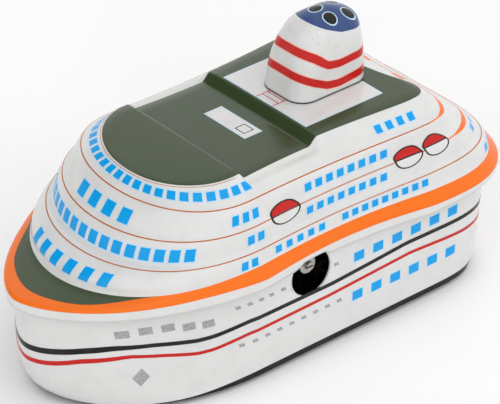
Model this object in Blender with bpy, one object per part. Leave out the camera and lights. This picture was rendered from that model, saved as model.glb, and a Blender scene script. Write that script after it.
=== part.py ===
"""A wind-up tinplate cruise ship that rolls on the floor on hidden wheels.

+X points to the bow, +Y to port and +Z up. The origin is under the middle of the ship, on the floor.
"""

import math
from typing import NamedTuple

import bmesh
import bpy
from mathutils import Matrix, Vector

MM = 0.001
GAP = 0.3 * MM
SHEET = 0.45 * MM

# Stations round each half of the ship's outline, from the bow tip to the middle of the stern.
BOW_STEPS = 9
STERN_STEPS = 7
# Where the stations of the side lie, from the bow's shoulder (0) to the stern's quarter (1).
SIDE_STATIONS = (0.0, 0.04, 0.42, 0.47, 0.62, 0.8)

# Hull
HULL_TOP = 32.6 * MM
HULL_KNUCKLE = 13.5 * MM
HULL_BOTTOM = 4.2 * MM
KEY_HOLE_X = 3.2 * MM
KEY_HOLE_Z = 25.3 * MM
KEY_HOLE_RADIUS = 6.4 * MM

# Base pan
PAN_BOTTOM = 1.4 * MM
PAN_TOP = HULL_BOTTOM - GAP
PAN_FLOOR = PAN_BOTTOM + SHEET

# Roof of the superstructure
FORE_ROOF = 54.6 * MM
RIDGE_ROOF = 56.0 * MM
MIDDLE_ROOF = 54.2 * MM
AFT_ROOF = 56.3 * MM

# Funnel
FUNNEL_X = -26.4 * MM
FUNNEL_HALF_LENGTH = 12.0 * MM
FUNNEL_HALF_WIDTH = 9.0 * MM
FUNNEL_CORNER = 5.0 * MM
FUNNEL_FOOT = AFT_ROOF + GAP
FUNNEL_HEIGHT = 21.6 * MM
FUNNEL_SHEET = 0.4 * MM
FUNNEL_TAPER = 0.1
FUNNEL_LEAN = 3.6 * MM
FUNNEL_LEAN_POWER = 1.6
# The top rounds in by this power, and stops just short of a point.
FUNNEL_ROUNDED = 0.985
FUNNEL_ROUND_POWER = 4.2

# Clockwork: every arbor lies across the ship, along Y
PLATE = 0.8 * MM
PLATE_INNER_FACE = 7.6 * MM
PLATE_FRONT = 16.0 * MM
PLATE_BACK = -21.5 * MM
PLATE_TOP = 40.0 * MM
PLATE_FOOT = PAN_FLOOR + GAP
FOOT_WIDTH = 4.2 * MM
FOOT_FRONT = 12.0 * MM
FOOT_BACK = -9.0 * MM
FOOT_DRILL = (PLATE_FOOT - GAP, PLATE_FOOT + 2 * MM)
ARBOR_RADIUS = 1.1 * MM
HOLE_RADIUS = ARBOR_RADIUS + GAP
# A tooth's height below and above the pitch circle, in modules, and its half widths, in pitches.
DEDENDUM = 1.25
ADDENDUM = 0.8
TOOTH_ROOT_PART = 0.29
TOOTH_TIP_PART = 0.09
MAIN_X = 3.0 * MM
MAIN_Z = 26.9 * MM
MAIN_TEETH = 36
MAIN_MODULE = 0.7 * MM
MIDDLE_PINION_TEETH = 10
MIDDLE_X = -11.0 * MM
MIDDLE_TEETH = 30
MIDDLE_MODULE = 0.6 * MM
DRIVE_PINION_TEETH = 10
WHEEL_RADIUS = 8.4 * MM
WHEEL_WIDTH = 3.4 * MM
WHEEL_INNER_FACE = 11.2 * MM
TYRE_THICKNESS = 1.3 * MM
DRIVE_X = -16.7 * MM
FRONT_AXLE_X = 38.0 * MM
AXLE_Z = WHEEL_RADIUS
AXLE_END = 15.6 * MM
SLOT_CLEARANCE = 1.0 * MM
RATCHET_TEETH = 12
RATCHET_RADIUS = 4.2 * MM
RATCHET_ROOT = 3.3 * MM
COLLAR_RADIUS = 2.5 * MM
COLLAR_Y = 29.6 * MM
SPRING_TURNS = 6
STEPS_PER_TURN = 15
SPRING_INNER = 2.4 * MM
SPRING_OUTER = 10.4 * MM
SPRING_STRIP = 0.3 * MM
RIVET_RADIUS = 0.8 * MM
RIVET_HEAD = 1.7 * MM
RIVET_HEAD_HEIGHT = 0.5 * MM
RIVET_INSET = 3.0 * MM
PILLAR_RADIUS = 1.5 * MM
TENON_RADIUS = 0.8 * MM
TENON_PROUD = 0.4 * MM
STRAP_HALF_WIDTH = 3.0 * MM
# Where each part sits across the ship, as (starboard face, port face).
ARBOR_ENDS = (-9.2 * MM, 9.2 * MM)
MAINSPRING_Y = (-4.6 * MM, 0.9 * MM)
RATCHET_Y = (2.0 * MM, 3.0 * MM)
MAIN_GEAR_Y = (4.0 * MM, 5.2 * MM)
MIDDLE_PINION_Y = (3.6 * MM, 5.6 * MM)
MIDDLE_GEAR_Y = (-6.5 * MM, -5.5 * MM)
DRIVE_PINION_Y = (-7.0 * MM, -5.1 * MM)
CLICK_PIN_Y = (1.5 * MM, 3.7 * MM)
# The winding arbor's end: a collar, then a slotted boss that the key turns.
COLLAR_THICKNESS = 0.8 * MM
KEY_END_RADIUS = 1.2 * MM
KEY_END_LENGTH = 1.1 * MM
KEY_SLOT_WIDTH = 0.6 * MM
KEY_SLOT_DEPTH = 0.8 * MM
CLICK_RADIUS = 1.6 * MM
CLICK_PIN_RADIUS = 0.7 * MM
CLICK_NOSE_GAP = 0.4 * MM
CLICK_SPRING_RADIUS = 0.2 * MM
CLICK_SPRING_OFFSET = CLICK_RADIUS + 0.55 * MM
CLICK_SPRING_AHEAD = 2.4 * MM
CLICK_SPRING_BEHIND = 2.6 * MM
CLICK_SPRING_Y = 2.25 * MM
CLICK_SPRING_FOOT = 1.4 * MM
HUB_RADIUS = 2.6 * MM
HUB_SLOPE = 0.4 * MM
RIM_WIDTH = 0.7 * MM
RIM_EDGE = 0.2 * MM
DISH_DEPTH = 0.9 * MM
TYRE_ROUND = 0.5 * MM
CLICK_PIVOT = Vector((MAIN_X + 6.6 * MM, 0.0, MAIN_Z + 4.4 * MM))


class Level(NamedTuple):
    """One horizontal outline of the ship. A half-beam is a distance from the centre line."""

    height: float
    bow: float
    bow_length: float
    shoulder: float
    bow_power: float
    waist: float
    quarter: float
    stern: float
    stern_length: float
    bow_drop: float = 0.0
    stern_drop: float = 0.0


STERN_POWER = 2.8
HULL_LEVELS = (
    Level(HULL_BOTTOM, 65.0 * MM, 40 * MM, 32.0 * MM, 2.0, 32.0 * MM, 31.8 * MM, -62.5 * MM, 20 * MM),
    Level(7.5 * MM, 67.8 * MM, 40 * MM, 32.0 * MM, 2.0, 32.0 * MM, 31.9 * MM, -63.4 * MM, 20 * MM),
    Level(HULL_KNUCKLE, 70.1 * MM, 40 * MM, 32.0 * MM, 1.9, 32.0 * MM, 32.0 * MM, -64.2 * MM, 20 * MM),
    Level(22.0 * MM, 70.7 * MM, 40 * MM, 32.0 * MM, 1.85, 32.0 * MM, 32.1 * MM, -65.2 * MM, 20 * MM),
    Level(HULL_TOP, 70.8 * MM, 40 * MM, 32.0 * MM, 1.85, 32.0 * MM, 32.1 * MM, -66.2 * MM, 20 * MM),
)
RIM = Level(
    height=32.9 * MM,
    bow=72.6 * MM,
    bow_length=42 * MM,
    shoulder=35.2 * MM,
    bow_power=2.1,
    waist=33.3 * MM,
    quarter=36.4 * MM,
    stern=-72.6 * MM,
    stern_length=21 * MM,
    bow_drop=0.6 * MM,
    stern_drop=2.0 * MM,
)
SKIRT_DEPTH = 3.4 * MM
SKIRT = RIM._replace(height=RIM.height - SKIRT_DEPTH, bow_drop=1.2 * MM, stern_drop=2.0 * MM)
BEAD = Level(
    height=35.3 * MM,
    bow=69.6 * MM,
    bow_length=40 * MM,
    shoulder=33.4 * MM,
    bow_power=2.0,
    waist=32.4 * MM,
    quarter=34.6 * MM,
    stern=-70.6 * MM,
    stern_length=20 * MM,
    bow_drop=1.8 * MM,
    stern_drop=2.0 * MM,
)
FOOT = Level(
    height=35.9 * MM,
    bow=57.4 * MM,
    bow_length=30 * MM,
    shoulder=32.0 * MM,
    bow_power=2.1,
    waist=31.4 * MM,
    quarter=33.2 * MM,
    stern=-69.0 * MM,
    stern_length=18 * MM,
    bow_drop=1.7 * MM,
    stern_drop=1.5 * MM,
)
DECK_LEVELS = (
    SKIRT,
    RIM,
    BEAD,
    FOOT,
    Level(39.6 * MM, 51.5 * MM, 32 * MM, 31.4 * MM, 2.3, 31.0 * MM, 32.6 * MM, -67.4 * MM, 18 * MM),
    Level(42.4 * MM, 51.3 * MM, 28 * MM, 30.2 * MM, 2.0, 29.8 * MM, 31.2 * MM, -63.0 * MM, 18 * MM),
    Level(45.6 * MM, 48.0 * MM, 24 * MM, 29.4 * MM, 2.3, 29.2 * MM, 30.4 * MM, -58.6 * MM, 18 * MM),
    Level(48.2 * MM, 45.0 * MM, 24 * MM, 28.2 * MM, 2.3, 28.0 * MM, 28.8 * MM, -55.0 * MM, 17 * MM),
    Level(51.6 * MM, 41.4 * MM, 19 * MM, 27.2 * MM, 1.9, 27.0 * MM, 27.6 * MM, -51.6 * MM, 15 * MM),
    Level(53.6 * MM, 38.4 * MM, 19 * MM, 23.2 * MM, 2.0, 22.6 * MM, 24.6 * MM, -47.2 * MM, 11 * MM),
)
ROOF = Level(MIDDLE_ROOF, 36.6 * MM, 18.6 * MM, 21.6 * MM, 2.1, 21.2 * MM, 23.0 * MM, -44.8 * MM, 9 * MM)
# Places along the roof where its height changes, from the stern to the bow.
ROOF_PROFILE = (
    (-44.8 * MM, AFT_ROOF - 0.6 * MM),
    (-42.0 * MM, AFT_ROOF),
    (-7.5 * MM, AFT_ROOF),
    (-4.6 * MM, MIDDLE_ROOF),
    (15.0 * MM, MIDDLE_ROOF),
    (18.6 * MM, RIDGE_ROOF),
    (36.6 * MM, FORE_ROOF),
)


def clear_scene():
    for obj in list(bpy.data.objects):
        bpy.data.objects.remove(obj, do_unlink=True)


def make_material(name, colour, roughness, metallic=0.0):
    material = bpy.data.materials.new(name)
    material.use_nodes = True
    shader = material.node_tree.nodes["Principled BSDF"]
    shader.inputs["Base Color"].default_value = (*colour, 1.0)
    shader.inputs["Roughness"].default_value = roughness
    shader.inputs["Metallic"].default_value = metallic
    return material


def add_object(name, bm, material, location=(0.0, 0.0, 0.0), smooth=True):
    bmesh.ops.recalc_face_normals(bm, faces=bm.faces)
    mesh = bpy.data.meshes.new(name)
    bm.to_mesh(mesh)
    bm.free()
    mesh.materials.append(material)
    if smooth:
        mesh.shade_smooth()
        mesh.set_sharp_from_angle(angle=math.radians(35))
    obj = bpy.data.objects.new(name, mesh)
    obj.location = location
    bpy.context.scene.collection.objects.link(obj)
    return obj


def cut(target, cutters):
    """Takes each cutter's shape out of the target, and hides the cutter."""
    for cutter in cutters:
        cutter.hide_render = True
        cutter.display_type = "WIRE"
        modifier = target.modifiers.new("Cut " + cutter.name, "BOOLEAN")
        modifier.operation = "DIFFERENCE"
        modifier.solver = "EXACT"
        modifier.object = cutter


def blend(start, end, part):
    return start + (end - start) * part


def smooth_step(part):
    part = min(max(part, 0.0), 1.0)
    return part * part * (3 - 2 * part)


def level_height(level, x):
    """The outline's height at x: it droops a little towards the bow and the stern."""
    bow_part = smooth_step((x - 20 * MM) / (level.bow - 20 * MM))
    stern_part = smooth_step((-20 * MM - x) / (-20 * MM - level.stern))
    return level.height - level.bow_drop * bow_part - level.stern_drop * stern_part


def half_outline(level, inset=0.0):
    """Points (x, y) down the port side, from the bow tip to the middle of the stern."""
    shoulder_x = level.bow - level.bow_length
    quarter_x = level.stern + level.stern_length
    bow_length = level.bow_length - inset
    shoulder = level.shoulder - inset
    quarter = level.quarter - inset
    stern_length = level.stern_length - inset
    points = []
    for step in range(BOW_STEPS):
        angle = step / BOW_STEPS * math.pi / 2
        across = shoulder * math.sin(angle) ** (2 / level.bow_power)
        points.append((shoulder_x + bow_length * math.cos(angle), across))
    for part in SIDE_STATIONS:
        sag = (level.shoulder + level.quarter) / 2 - level.waist
        across = blend(shoulder, quarter, part) - sag * 4 * part * (1 - part)
        points.append((blend(shoulder_x, quarter_x, part), across))
    for step in range(STERN_STEPS):
        angle = step / STERN_STEPS * math.pi / 2
        along = stern_length * math.sin(angle) ** (2 / STERN_POWER)
        across = quarter * math.cos(angle) ** (2 / STERN_POWER)
        points.append((quarter_x - along, across))
    points.append((quarter_x - stern_length, 0.0))
    return points


def whole_ring(half):
    """A closed ring of points from its port half, whose first and last points are on the centre line."""
    starboard = [Vector((p.x, -p.y, p.z)) for p in reversed(half[1:-1])]
    return list(half) + starboard


def level_ring(level, inset=0.0):
    half = [Vector((x, y, level_height(level, x))) for x, y in half_outline(level, inset)]
    return whole_ring(half)


def add_rings(bm, rings):
    return [[bm.verts.new(point) for point in ring] for ring in rings]


def bridge(bm, lower, upper):
    count = len(lower)
    for index in range(count):
        following = (index + 1) % count
        bm.faces.new((lower[index], lower[following], upper[following], upper[index]))


def tube_between(bm, rings):
    """Joins rings into a tube that closes on itself, as a wall with a thickness does."""
    rows = add_rings(bm, rings)
    for row, following in zip(rows, rows[1:] + rows[:1]):
        bridge(bm, row, following)
    return rows


def cap_across(bm, ring):
    """Closes a ring with strips from each port point to its starboard twin."""
    last = len(ring) // 2
    for index in range(last):
        corners = (ring[index], ring[index + 1], ring[-index - 1], ring[-index])
        unique = list(dict.fromkeys(corners))
        bm.faces.new(unique)


def roof_height(x):
    low = ROOF_PROFILE[0]
    if x <= low[0]:
        return low[1]
    for high in ROOF_PROFILE[1:]:
        if x <= high[0]:
            return blend(low[1], high[1], (x - low[0]) / (high[0] - low[0]))
        low = high
    return low[1]


# Solids of revolution, gears and plates. All of them lie along Y, like the arbors.


def turned(name, profile, x, z, material, sides=24):
    """A solid turned about a line along Y through (x, z). The profile lists (radius, y)."""
    bm = bmesh.new()
    rows = []
    for radius, y in profile:
        if radius == 0.0:
            rows.append([bm.verts.new((0.0, y, 0.0))] * sides)
            continue
        angles = [2 * math.pi * side / sides for side in range(sides)]
        rows.append([bm.verts.new((radius * math.sin(a), y, radius * math.cos(a))) for a in angles])
    pairs = list(zip(rows, rows[1:]))
    if profile[0][0] > 0.0:
        pairs.append((rows[-1], rows[0]))
    for row, following in pairs:
        for side in range(sides):
            beyond = (side + 1) % sides
            corners = (row[side], row[beyond], following[beyond], following[side])
            unique = list(dict.fromkeys(corners))
            if len(unique) > 2:
                bm.faces.new(unique)
    return add_object(name, bm, material, (x, 0.0, z))


def shaft(name, radius, low, high, x, z, material, sides=16):
    profile = ((0.0, low), (radius, low), (radius, high), (0.0, high))
    return turned(name, profile, x, z, material, sides)


def washer(name, hole, radius, low, high, x, z, material, sides=24):
    profile = ((hole, low), (radius, low), (radius, high), (hole, high))
    return turned(name, profile, x, z, material, sides)


def wheel_disc(name, outline, hole, low, high, x, z, material, smooth=False):
    """A flat wheel with a toothed rim and a round hole. The outline lists (radius, angle)."""
    bm = bmesh.new()
    rim = [(radius * math.sin(angle), radius * math.cos(angle)) for radius, angle in outline]
    bore = [(hole * math.sin(angle), hole * math.cos(angle)) for _, angle in outline]
    rings = [
        [Vector((px, low, pz)) for px, pz in bore],
        [Vector((px, low, pz)) for px, pz in rim],
        [Vector((px, high, pz)) for px, pz in rim],
        [Vector((px, high, pz)) for px, pz in bore],
    ]
    tube_between(bm, rings)
    return add_object(name, bm, material, (x, 0.0, z), smooth)


def gear_outline(teeth, module, phase):
    """Straight-sided teeth that are thin enough to turn freely in mesh."""
    root = module * (teeth / 2 - DEDENDUM)
    tip = module * (teeth / 2 + ADDENDUM)
    pitch = 2 * math.pi / teeth
    outline = []
    for tooth in range(teeth):
        centre = phase + tooth * pitch
        outline.append((root, centre - TOOTH_ROOT_PART * pitch))
        outline.append((tip, centre - TOOTH_TIP_PART * pitch))
        outline.append((tip, centre + TOOTH_TIP_PART * pitch))
        outline.append((root, centre + TOOTH_ROOT_PART * pitch))
    return outline


def ratchet_outline():
    pitch = 2 * math.pi / RATCHET_TEETH
    outline = []
    for tooth in range(RATCHET_TEETH):
        outline.append((RATCHET_RADIUS, tooth * pitch))
        outline.append((blend(RATCHET_RADIUS, RATCHET_ROOT, 0.5), (tooth + 0.5) * pitch))
        outline.append((RATCHET_ROOT, (tooth + 0.93) * pitch))
    return outline


def block(name, low, high, material):
    bm = bmesh.new()
    bmesh.ops.create_cube(bm, size=1.0)
    size = Vector(high) - Vector(low)
    centre = (Vector(high) + Vector(low)) / 2
    bmesh.ops.scale(bm, vec=size, verts=bm.verts)
    bmesh.ops.translate(bm, vec=centre, verts=bm.verts)
    return add_object(name, bm, material, smooth=False)


def drill(name, radius, low, high, x, z, material):
    return shaft("cut_" + name, radius, low, high, x, z, material, sides=16)


def drill_down(name, radius, x, y, low, high, material):
    """An upright drill at (x, y)."""
    bm = bmesh.new()
    bmesh.ops.create_cone(
        bm, cap_ends=True, segments=16, radius1=radius, radius2=radius, depth=high - low
    )
    return add_object("cut_" + name, bm, material, (x, y, (low + high) / 2))


# The ship


def make_hull(material, cutter_material):
    outer = [level_ring(level) for level in HULL_LEVELS]
    inner = [level_ring(level, SHEET) for level in reversed(HULL_LEVELS)]
    bm = bmesh.new()
    tube_between(bm, outer + inner)
    hull = add_object("hull_shell", bm, material)
    hole = shaft(
        "cut_key_hole", KEY_HOLE_RADIUS, 25 * MM, 40 * MM, KEY_HOLE_X, KEY_HOLE_Z, cutter_material, 32
    )
    cut(hull, [hole])


def wheel_slots(material):
    """Blocks that open the base pan under the four wheels."""
    reach = math.sqrt(WHEEL_RADIUS**2 - (WHEEL_RADIUS - PAN_FLOOR) ** 2) + SLOT_CLEARANCE
    slots = []
    for end, x in (("drive", DRIVE_X), ("front", FRONT_AXLE_X)):
        for side, sign in (("port", 1), ("starboard", -1)):
            near = sign * (WHEEL_INNER_FACE - SLOT_CLEARANCE)
            far = sign * (WHEEL_INNER_FACE + WHEEL_WIDTH + SLOT_CLEARANCE)
            low = (x - reach, min(near, far), 0.0)
            high = (x + reach, max(near, far), 3 * MM)
            slots.append(block(f"cut_slot_{end}_{side}", low, high, material))
    return slots


def rivet_places():
    """Where the rivets that hold the clockwork and the front bracket go through the base pan."""
    y = PLATE_INNER_FACE - FOOT_WIDTH / 2
    places = {}
    for end, x in (("front", FOOT_FRONT - RIVET_INSET), ("back", FOOT_BACK + RIVET_INSET)):
        for side, sign in (("port", 1), ("starboard", -1)):
            places[f"motor_rivet_{end}_{side}"] = (x, sign * y)
    places["bracket_rivet_port"] = (FRONT_AXLE_X, y)
    places["bracket_rivet_starboard"] = (FRONT_AXLE_X, -y)
    return places


def make_base_pan(material, cutter_material):
    outline = HULL_LEVELS[0]
    rings = []
    for height, inset in (
        (PAN_FLOOR, SHEET),
        (PAN_TOP, SHEET),
        (PAN_TOP, 0.0),
        (PAN_BOTTOM, 0.0),
    ):
        ring = level_ring(outline._replace(height=height), inset)
        rings.append(ring)
    bm = bmesh.new()
    rows = add_rings(bm, rings)
    for row, following in zip(rows, rows[1:]):
        bridge(bm, row, following)
    cap_across(bm, rows[0])
    cap_across(bm, rows[-1])
    pan = add_object("base_pan", bm, material)
    drills = [
        drill_down(name, RIVET_RADIUS + GAP, x, y, 0.0, 3.0 * MM, cutter_material)
        for name, (x, y) in rivet_places().items()
    ]
    cut(pan, wheel_slots(cutter_material) + drills)


def make_superstructure(material):
    """One pressed sheet: skirt, orange flange, four tiers and the stepped roof, open underneath."""
    bm = bmesh.new()
    outer = [level_ring(level) for level in DECK_LEVELS]
    outer.append(whole_ring([Vector((x, y, roof_height(x))) for x, y in half_outline(ROOF)]))
    inner = []
    for level in DECK_LEVELS:
        lowered = level if level is SKIRT else level._replace(height=level.height - SHEET / 2)
        inner.append(level_ring(lowered, SHEET))
    ceiling = [Vector((x, y, roof_height(x) - SHEET)) for x, y in half_outline(ROOF, SHEET)]
    inner.append(whole_ring(ceiling))
    outside = add_rings(bm, outer)
    inside = add_rings(bm, inner)
    for row, following in zip(outside, outside[1:]):
        bridge(bm, row, following)
    for row, following in zip(inside, inside[1:]):
        bridge(bm, following, row)
    bridge(bm, inside[0], outside[0])
    cap_across(bm, outside[-1])
    cap_across(bm, inside[-1])
    add_object("superstructure_shell", bm, material)


def rounded_rectangle(half_length, half_width, corner, steps=4):
    points = []
    for quarter, (sx, sy) in enumerate(((1, 1), (-1, 1), (-1, -1), (1, -1))):
        centre_x = sx * (half_length - corner)
        centre_y = sy * (half_width - corner)
        for step in range(steps + 1):
            angle = (quarter + step / steps) * math.pi / 2
            points.append((centre_x + corner * math.cos(angle), centre_y + corner * math.sin(angle)))
    return points


def funnel_ring(part, inset=0.0, lift=0.0):
    """The funnel's outline at part of its height: it leans aft at the front and rounds in at the top."""
    shrink = math.sqrt(max(1 - (part * FUNNEL_ROUNDED) ** FUNNEL_ROUND_POWER, 0.0))
    scale = shrink * (1 - FUNNEL_TAPER * part)
    shift = -FUNNEL_LEAN * part**FUNNEL_LEAN_POWER
    height = FUNNEL_FOOT + FUNNEL_HEIGHT * part + lift
    outline = rounded_rectangle(
        FUNNEL_HALF_LENGTH - inset, FUNNEL_HALF_WIDTH - inset, FUNNEL_CORNER - inset
    )
    return [Vector((FUNNEL_X + shift + x * scale, y * scale, height)) for x, y in outline]


def make_funnel(material):
    parts = (0.0, 0.3, 0.55, 0.75, 0.88, 0.96, 1.0)
    outer = [funnel_ring(part) for part in parts]
    inner = [funnel_ring(part, FUNNEL_SHEET, -FUNNEL_SHEET if part else 0.0) for part in parts]
    bm = bmesh.new()
    outside = add_rings(bm, outer)
    inside = add_rings(bm, inner)
    for row, following in zip(outside, outside[1:]):
        bridge(bm, row, following)
    for row, following in zip(inside, inside[1:]):
        bridge(bm, following, row)
    bridge(bm, inside[0], outside[0])
    bm.faces.new(outside[-1])
    bm.faces.new(list(reversed(inside[-1])))
    add_object("funnel", bm, material)


# The clockwork


def make_motor_plates(material, cutter_material):
    """Two upright plates, each with a foot bent inward over the base pan."""
    arbors = ((MAIN_X, MAIN_Z), (MIDDLE_X, middle_height()), (DRIVE_X, AXLE_Z))
    for side, sign in (("port", 1), ("starboard", -1)):
        bm = bmesh.new()
        inner = sign * PLATE_INNER_FACE
        outer = sign * (PLATE_INNER_FACE + PLATE)
        toe = sign * (PLATE_INNER_FACE - FOOT_WIDTH)
        foot_top = PLATE_FOOT + PLATE
        # The plate's front and back edges, with the foot's ends between them.
        stations = (PLATE_BACK, FOOT_BACK, FOOT_FRONT, PLATE_FRONT)
        rows = []
        for x in stations:
            corners = (
                (inner, foot_top),
                (inner, PLATE_TOP),
                (outer, PLATE_TOP),
                (outer, PLATE_FOOT),
                (inner, PLATE_FOOT),
            )
            rows.append([bm.verts.new((x, y, z)) for y, z in corners])
        for row, following in zip(rows, rows[1:]):
            is_foot = row is rows[1]
            for index in range(5):
                if is_foot and index == 4:
                    continue
                beyond = (index + 1) % 5
                bm.faces.new((row[index], row[beyond], following[beyond], following[index]))
        bm.faces.new(rows[0])
        bm.faces.new(rows[-1])
        toes = []
        for row, x in ((rows[1], FOOT_BACK), (rows[2], FOOT_FRONT)):
            upper = bm.verts.new((x, toe, foot_top))
            lower = bm.verts.new((x, toe, PLATE_FOOT))
            bm.faces.new((row[0], upper, lower, row[4]))
            toes.append((row, upper, lower))
        (row, upper, lower), (following, far_upper, far_lower) = toes
        bm.faces.new((row[0], upper, far_upper, following[0]))
        bm.faces.new((upper, lower, far_lower, far_upper))
        bm.faces.new((lower, row[4], following[4], far_lower))
        plate = add_object(f"motor_plate_{side}", bm, material, smooth=False)
        low, high = sorted((inner - sign * GAP, outer + sign * GAP))
        drills = [
            drill(f"bearing_{side}_{number}", HOLE_RADIUS, low, high, x, z, cutter_material)
            for number, (x, z) in enumerate(arbors)
        ]
        drills += [
            drill(f"pillar_{side}_{number}", TENON_RADIUS + GAP, low, high, x, z, cutter_material)
            for number, (x, z) in enumerate(pillar_places())
        ]
        drills += [
            drill_down(name, RIVET_RADIUS + GAP, x, y, *FOOT_DRILL, cutter_material)
            for name, (x, y) in rivet_places().items()
            if name.startswith("motor") and y * sign > 0
        ]
        cut(plate, drills)


def middle_height():
    """The middle arbor's height, which puts its pinion in mesh with the main gear."""
    reach = MAIN_MODULE * (MAIN_TEETH + MIDDLE_PINION_TEETH) / 2
    return MAIN_Z - math.sqrt(reach**2 - (MAIN_X - MIDDLE_X) ** 2)


def pillar_places():
    return (
        (PLATE_FRONT - 1.9 * MM, PLATE_TOP - 2.2 * MM),
        (PLATE_BACK + 3 * MM, PLATE_TOP - 6 * MM),
        (PLATE_FRONT - 2.5 * MM, 7.5 * MM),
    )


def make_pillars(material):
    shoulder = PLATE_INNER_FACE - GAP
    end = PLATE_INNER_FACE + PLATE + TENON_PROUD
    profile = (
        (0.0, -end),
        (TENON_RADIUS, -end),
        (TENON_RADIUS, -shoulder),
        (PILLAR_RADIUS, -shoulder),
        (PILLAR_RADIUS, shoulder),
        (TENON_RADIUS, shoulder),
        (TENON_RADIUS, end),
        (0.0, end),
    )
    for number, (x, z) in enumerate(pillar_places()):
        turned(f"frame_pillar_{number + 1}", profile, x, z, material, 16)


def make_winding(arbor_material, gear_material, spring_material):
    """The winding arbor with its key end in the hull's hole, the ratchet and the main gear."""
    collar_face = COLLAR_Y + COLLAR_THICKNESS
    tip = collar_face + KEY_END_LENGTH
    profile = (
        (0.0, ARBOR_ENDS[0]),
        (ARBOR_RADIUS, ARBOR_ENDS[0]),
        (ARBOR_RADIUS, COLLAR_Y),
        (COLLAR_RADIUS, COLLAR_Y),
        (COLLAR_RADIUS, collar_face),
        (KEY_END_RADIUS, collar_face),
        (KEY_END_RADIUS, tip),
        (0.0, tip),
    )
    arbor = turned("winding_arbor", profile, MAIN_X, MAIN_Z, arbor_material, 24)
    low = (MAIN_X - COLLAR_RADIUS, tip - KEY_SLOT_DEPTH, MAIN_Z - KEY_SLOT_WIDTH / 2)
    high = (MAIN_X + COLLAR_RADIUS, tip + 1 * MM, MAIN_Z + KEY_SLOT_WIDTH / 2)
    cut(arbor, [block("cut_key_slot", low, high, arbor_material)])
    wheel_disc(
        "ratchet_wheel",
        ratchet_outline(),
        HOLE_RADIUS,
        *RATCHET_Y,
        MAIN_X,
        MAIN_Z,
        arbor_material,
    )
    wheel_disc(
        "main_gear",
        gear_outline(MAIN_TEETH, MAIN_MODULE, main_phase()),
        HOLE_RADIUS,
        *MAIN_GEAR_Y,
        MAIN_X,
        MAIN_Z,
        gear_material,
    )
    make_mainspring(spring_material)


def mesh_angle(from_x, from_z, to_x, to_z):
    """The direction of one axis from another, as an angle from +Z towards +X."""
    return math.atan2(to_x - from_x, to_z - from_z)


def main_phase():
    return mesh_angle(MAIN_X, MAIN_Z, MIDDLE_X, middle_height())


def facing_phase(teeth, angle):
    """Turns a gear so that a gap between two teeth looks along the angle."""
    return angle + math.pi / teeth


def make_mainspring(material):
    """A flat strip wound round the winding arbor."""
    bm = bmesh.new()
    steps = SPRING_TURNS * STEPS_PER_TURN
    low, high = MAINSPRING_Y
    rows = []
    for step in range(steps + 1):
        part = step / steps
        angle = part * SPRING_TURNS * 2 * math.pi
        radius = blend(SPRING_INNER, SPRING_OUTER, part)
        row = []
        for r, y in (
            (radius, low),
            (radius + SPRING_STRIP, low),
            (radius + SPRING_STRIP, high),
            (radius, high),
        ):
            row.append(bm.verts.new((r * math.sin(angle), y, r * math.cos(angle))))
        rows.append(row)
    for row, following in zip(rows, rows[1:]):
        bridge(bm, row, following)
    bm.faces.new(rows[0])
    bm.faces.new(rows[-1])
    add_object("mainspring", bm, material, (MAIN_X, 0.0, MAIN_Z))


def make_click(click_material, pin_material, spring_material):
    """The click and its pin and spring on the main gear. Its nose stops just off the ratchet's teeth."""
    shaft(
        "click_pin", CLICK_PIN_RADIUS, *CLICK_PIN_Y, CLICK_PIVOT.x, CLICK_PIVOT.z, pin_material, 12
    )
    # The click is a pointed lever, with its hole at the origin and its nose towards the ratchet.
    toward = Vector((MAIN_X, 0.0, MAIN_Z + RATCHET_RADIUS + CLICK_NOSE_GAP)) - CLICK_PIVOT
    length = toward.length
    along = toward.normalized()
    across = Vector((along.z, 0.0, -along.x))
    outline = []
    steps = 8
    for step in range(steps + 1):
        angle = math.pi * (0.5 + step / steps)
        outline.append((along * math.cos(angle) - across * math.sin(angle)) * CLICK_RADIUS)
    outline.append(along * length)
    bm = bmesh.new()
    low = [bm.verts.new((p.x, RATCHET_Y[0], p.z)) for p in outline]
    high = [bm.verts.new((p.x, RATCHET_Y[1], p.z)) for p in outline]
    bridge(bm, low, high)
    bm.faces.new(low)
    bm.faces.new(high)
    click = add_object("click", bm, click_material, CLICK_PIVOT, smooth=False)
    bore = drill(
        "click_bore", CLICK_PIN_RADIUS + GAP, *CLICK_PIN_Y, CLICK_PIVOT.x, CLICK_PIVOT.z, pin_material
    )
    cut(click, [bore])
    make_click_spring(along, across, spring_material)


def make_click_spring(along, across, material):
    """A wire that bears on the click's back, held by its foot on the main gear."""
    beside = CLICK_PIVOT + across * CLICK_SPRING_OFFSET
    end = beside - along * CLICK_SPRING_BEHIND
    points = [beside + along * CLICK_SPRING_AHEAD, end, end + Vector((0.0, CLICK_SPRING_FOOT, 0.0))]
    curve = bpy.data.curves.new("click_spring", "CURVE")
    curve.dimensions = "3D"
    curve.bevel_depth = CLICK_SPRING_RADIUS
    curve.bevel_resolution = 1
    curve.use_fill_caps = True
    spline = curve.splines.new("POLY")
    spline.points.add(len(points) - 1)
    for place, point in zip(spline.points, points):
        place.co = (point.x, point.y + CLICK_SPRING_Y, point.z, 1.0)
    curve.materials.append(material)
    spring = bpy.data.objects.new("click_spring", curve)
    bpy.context.scene.collection.objects.link(spring)


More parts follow.
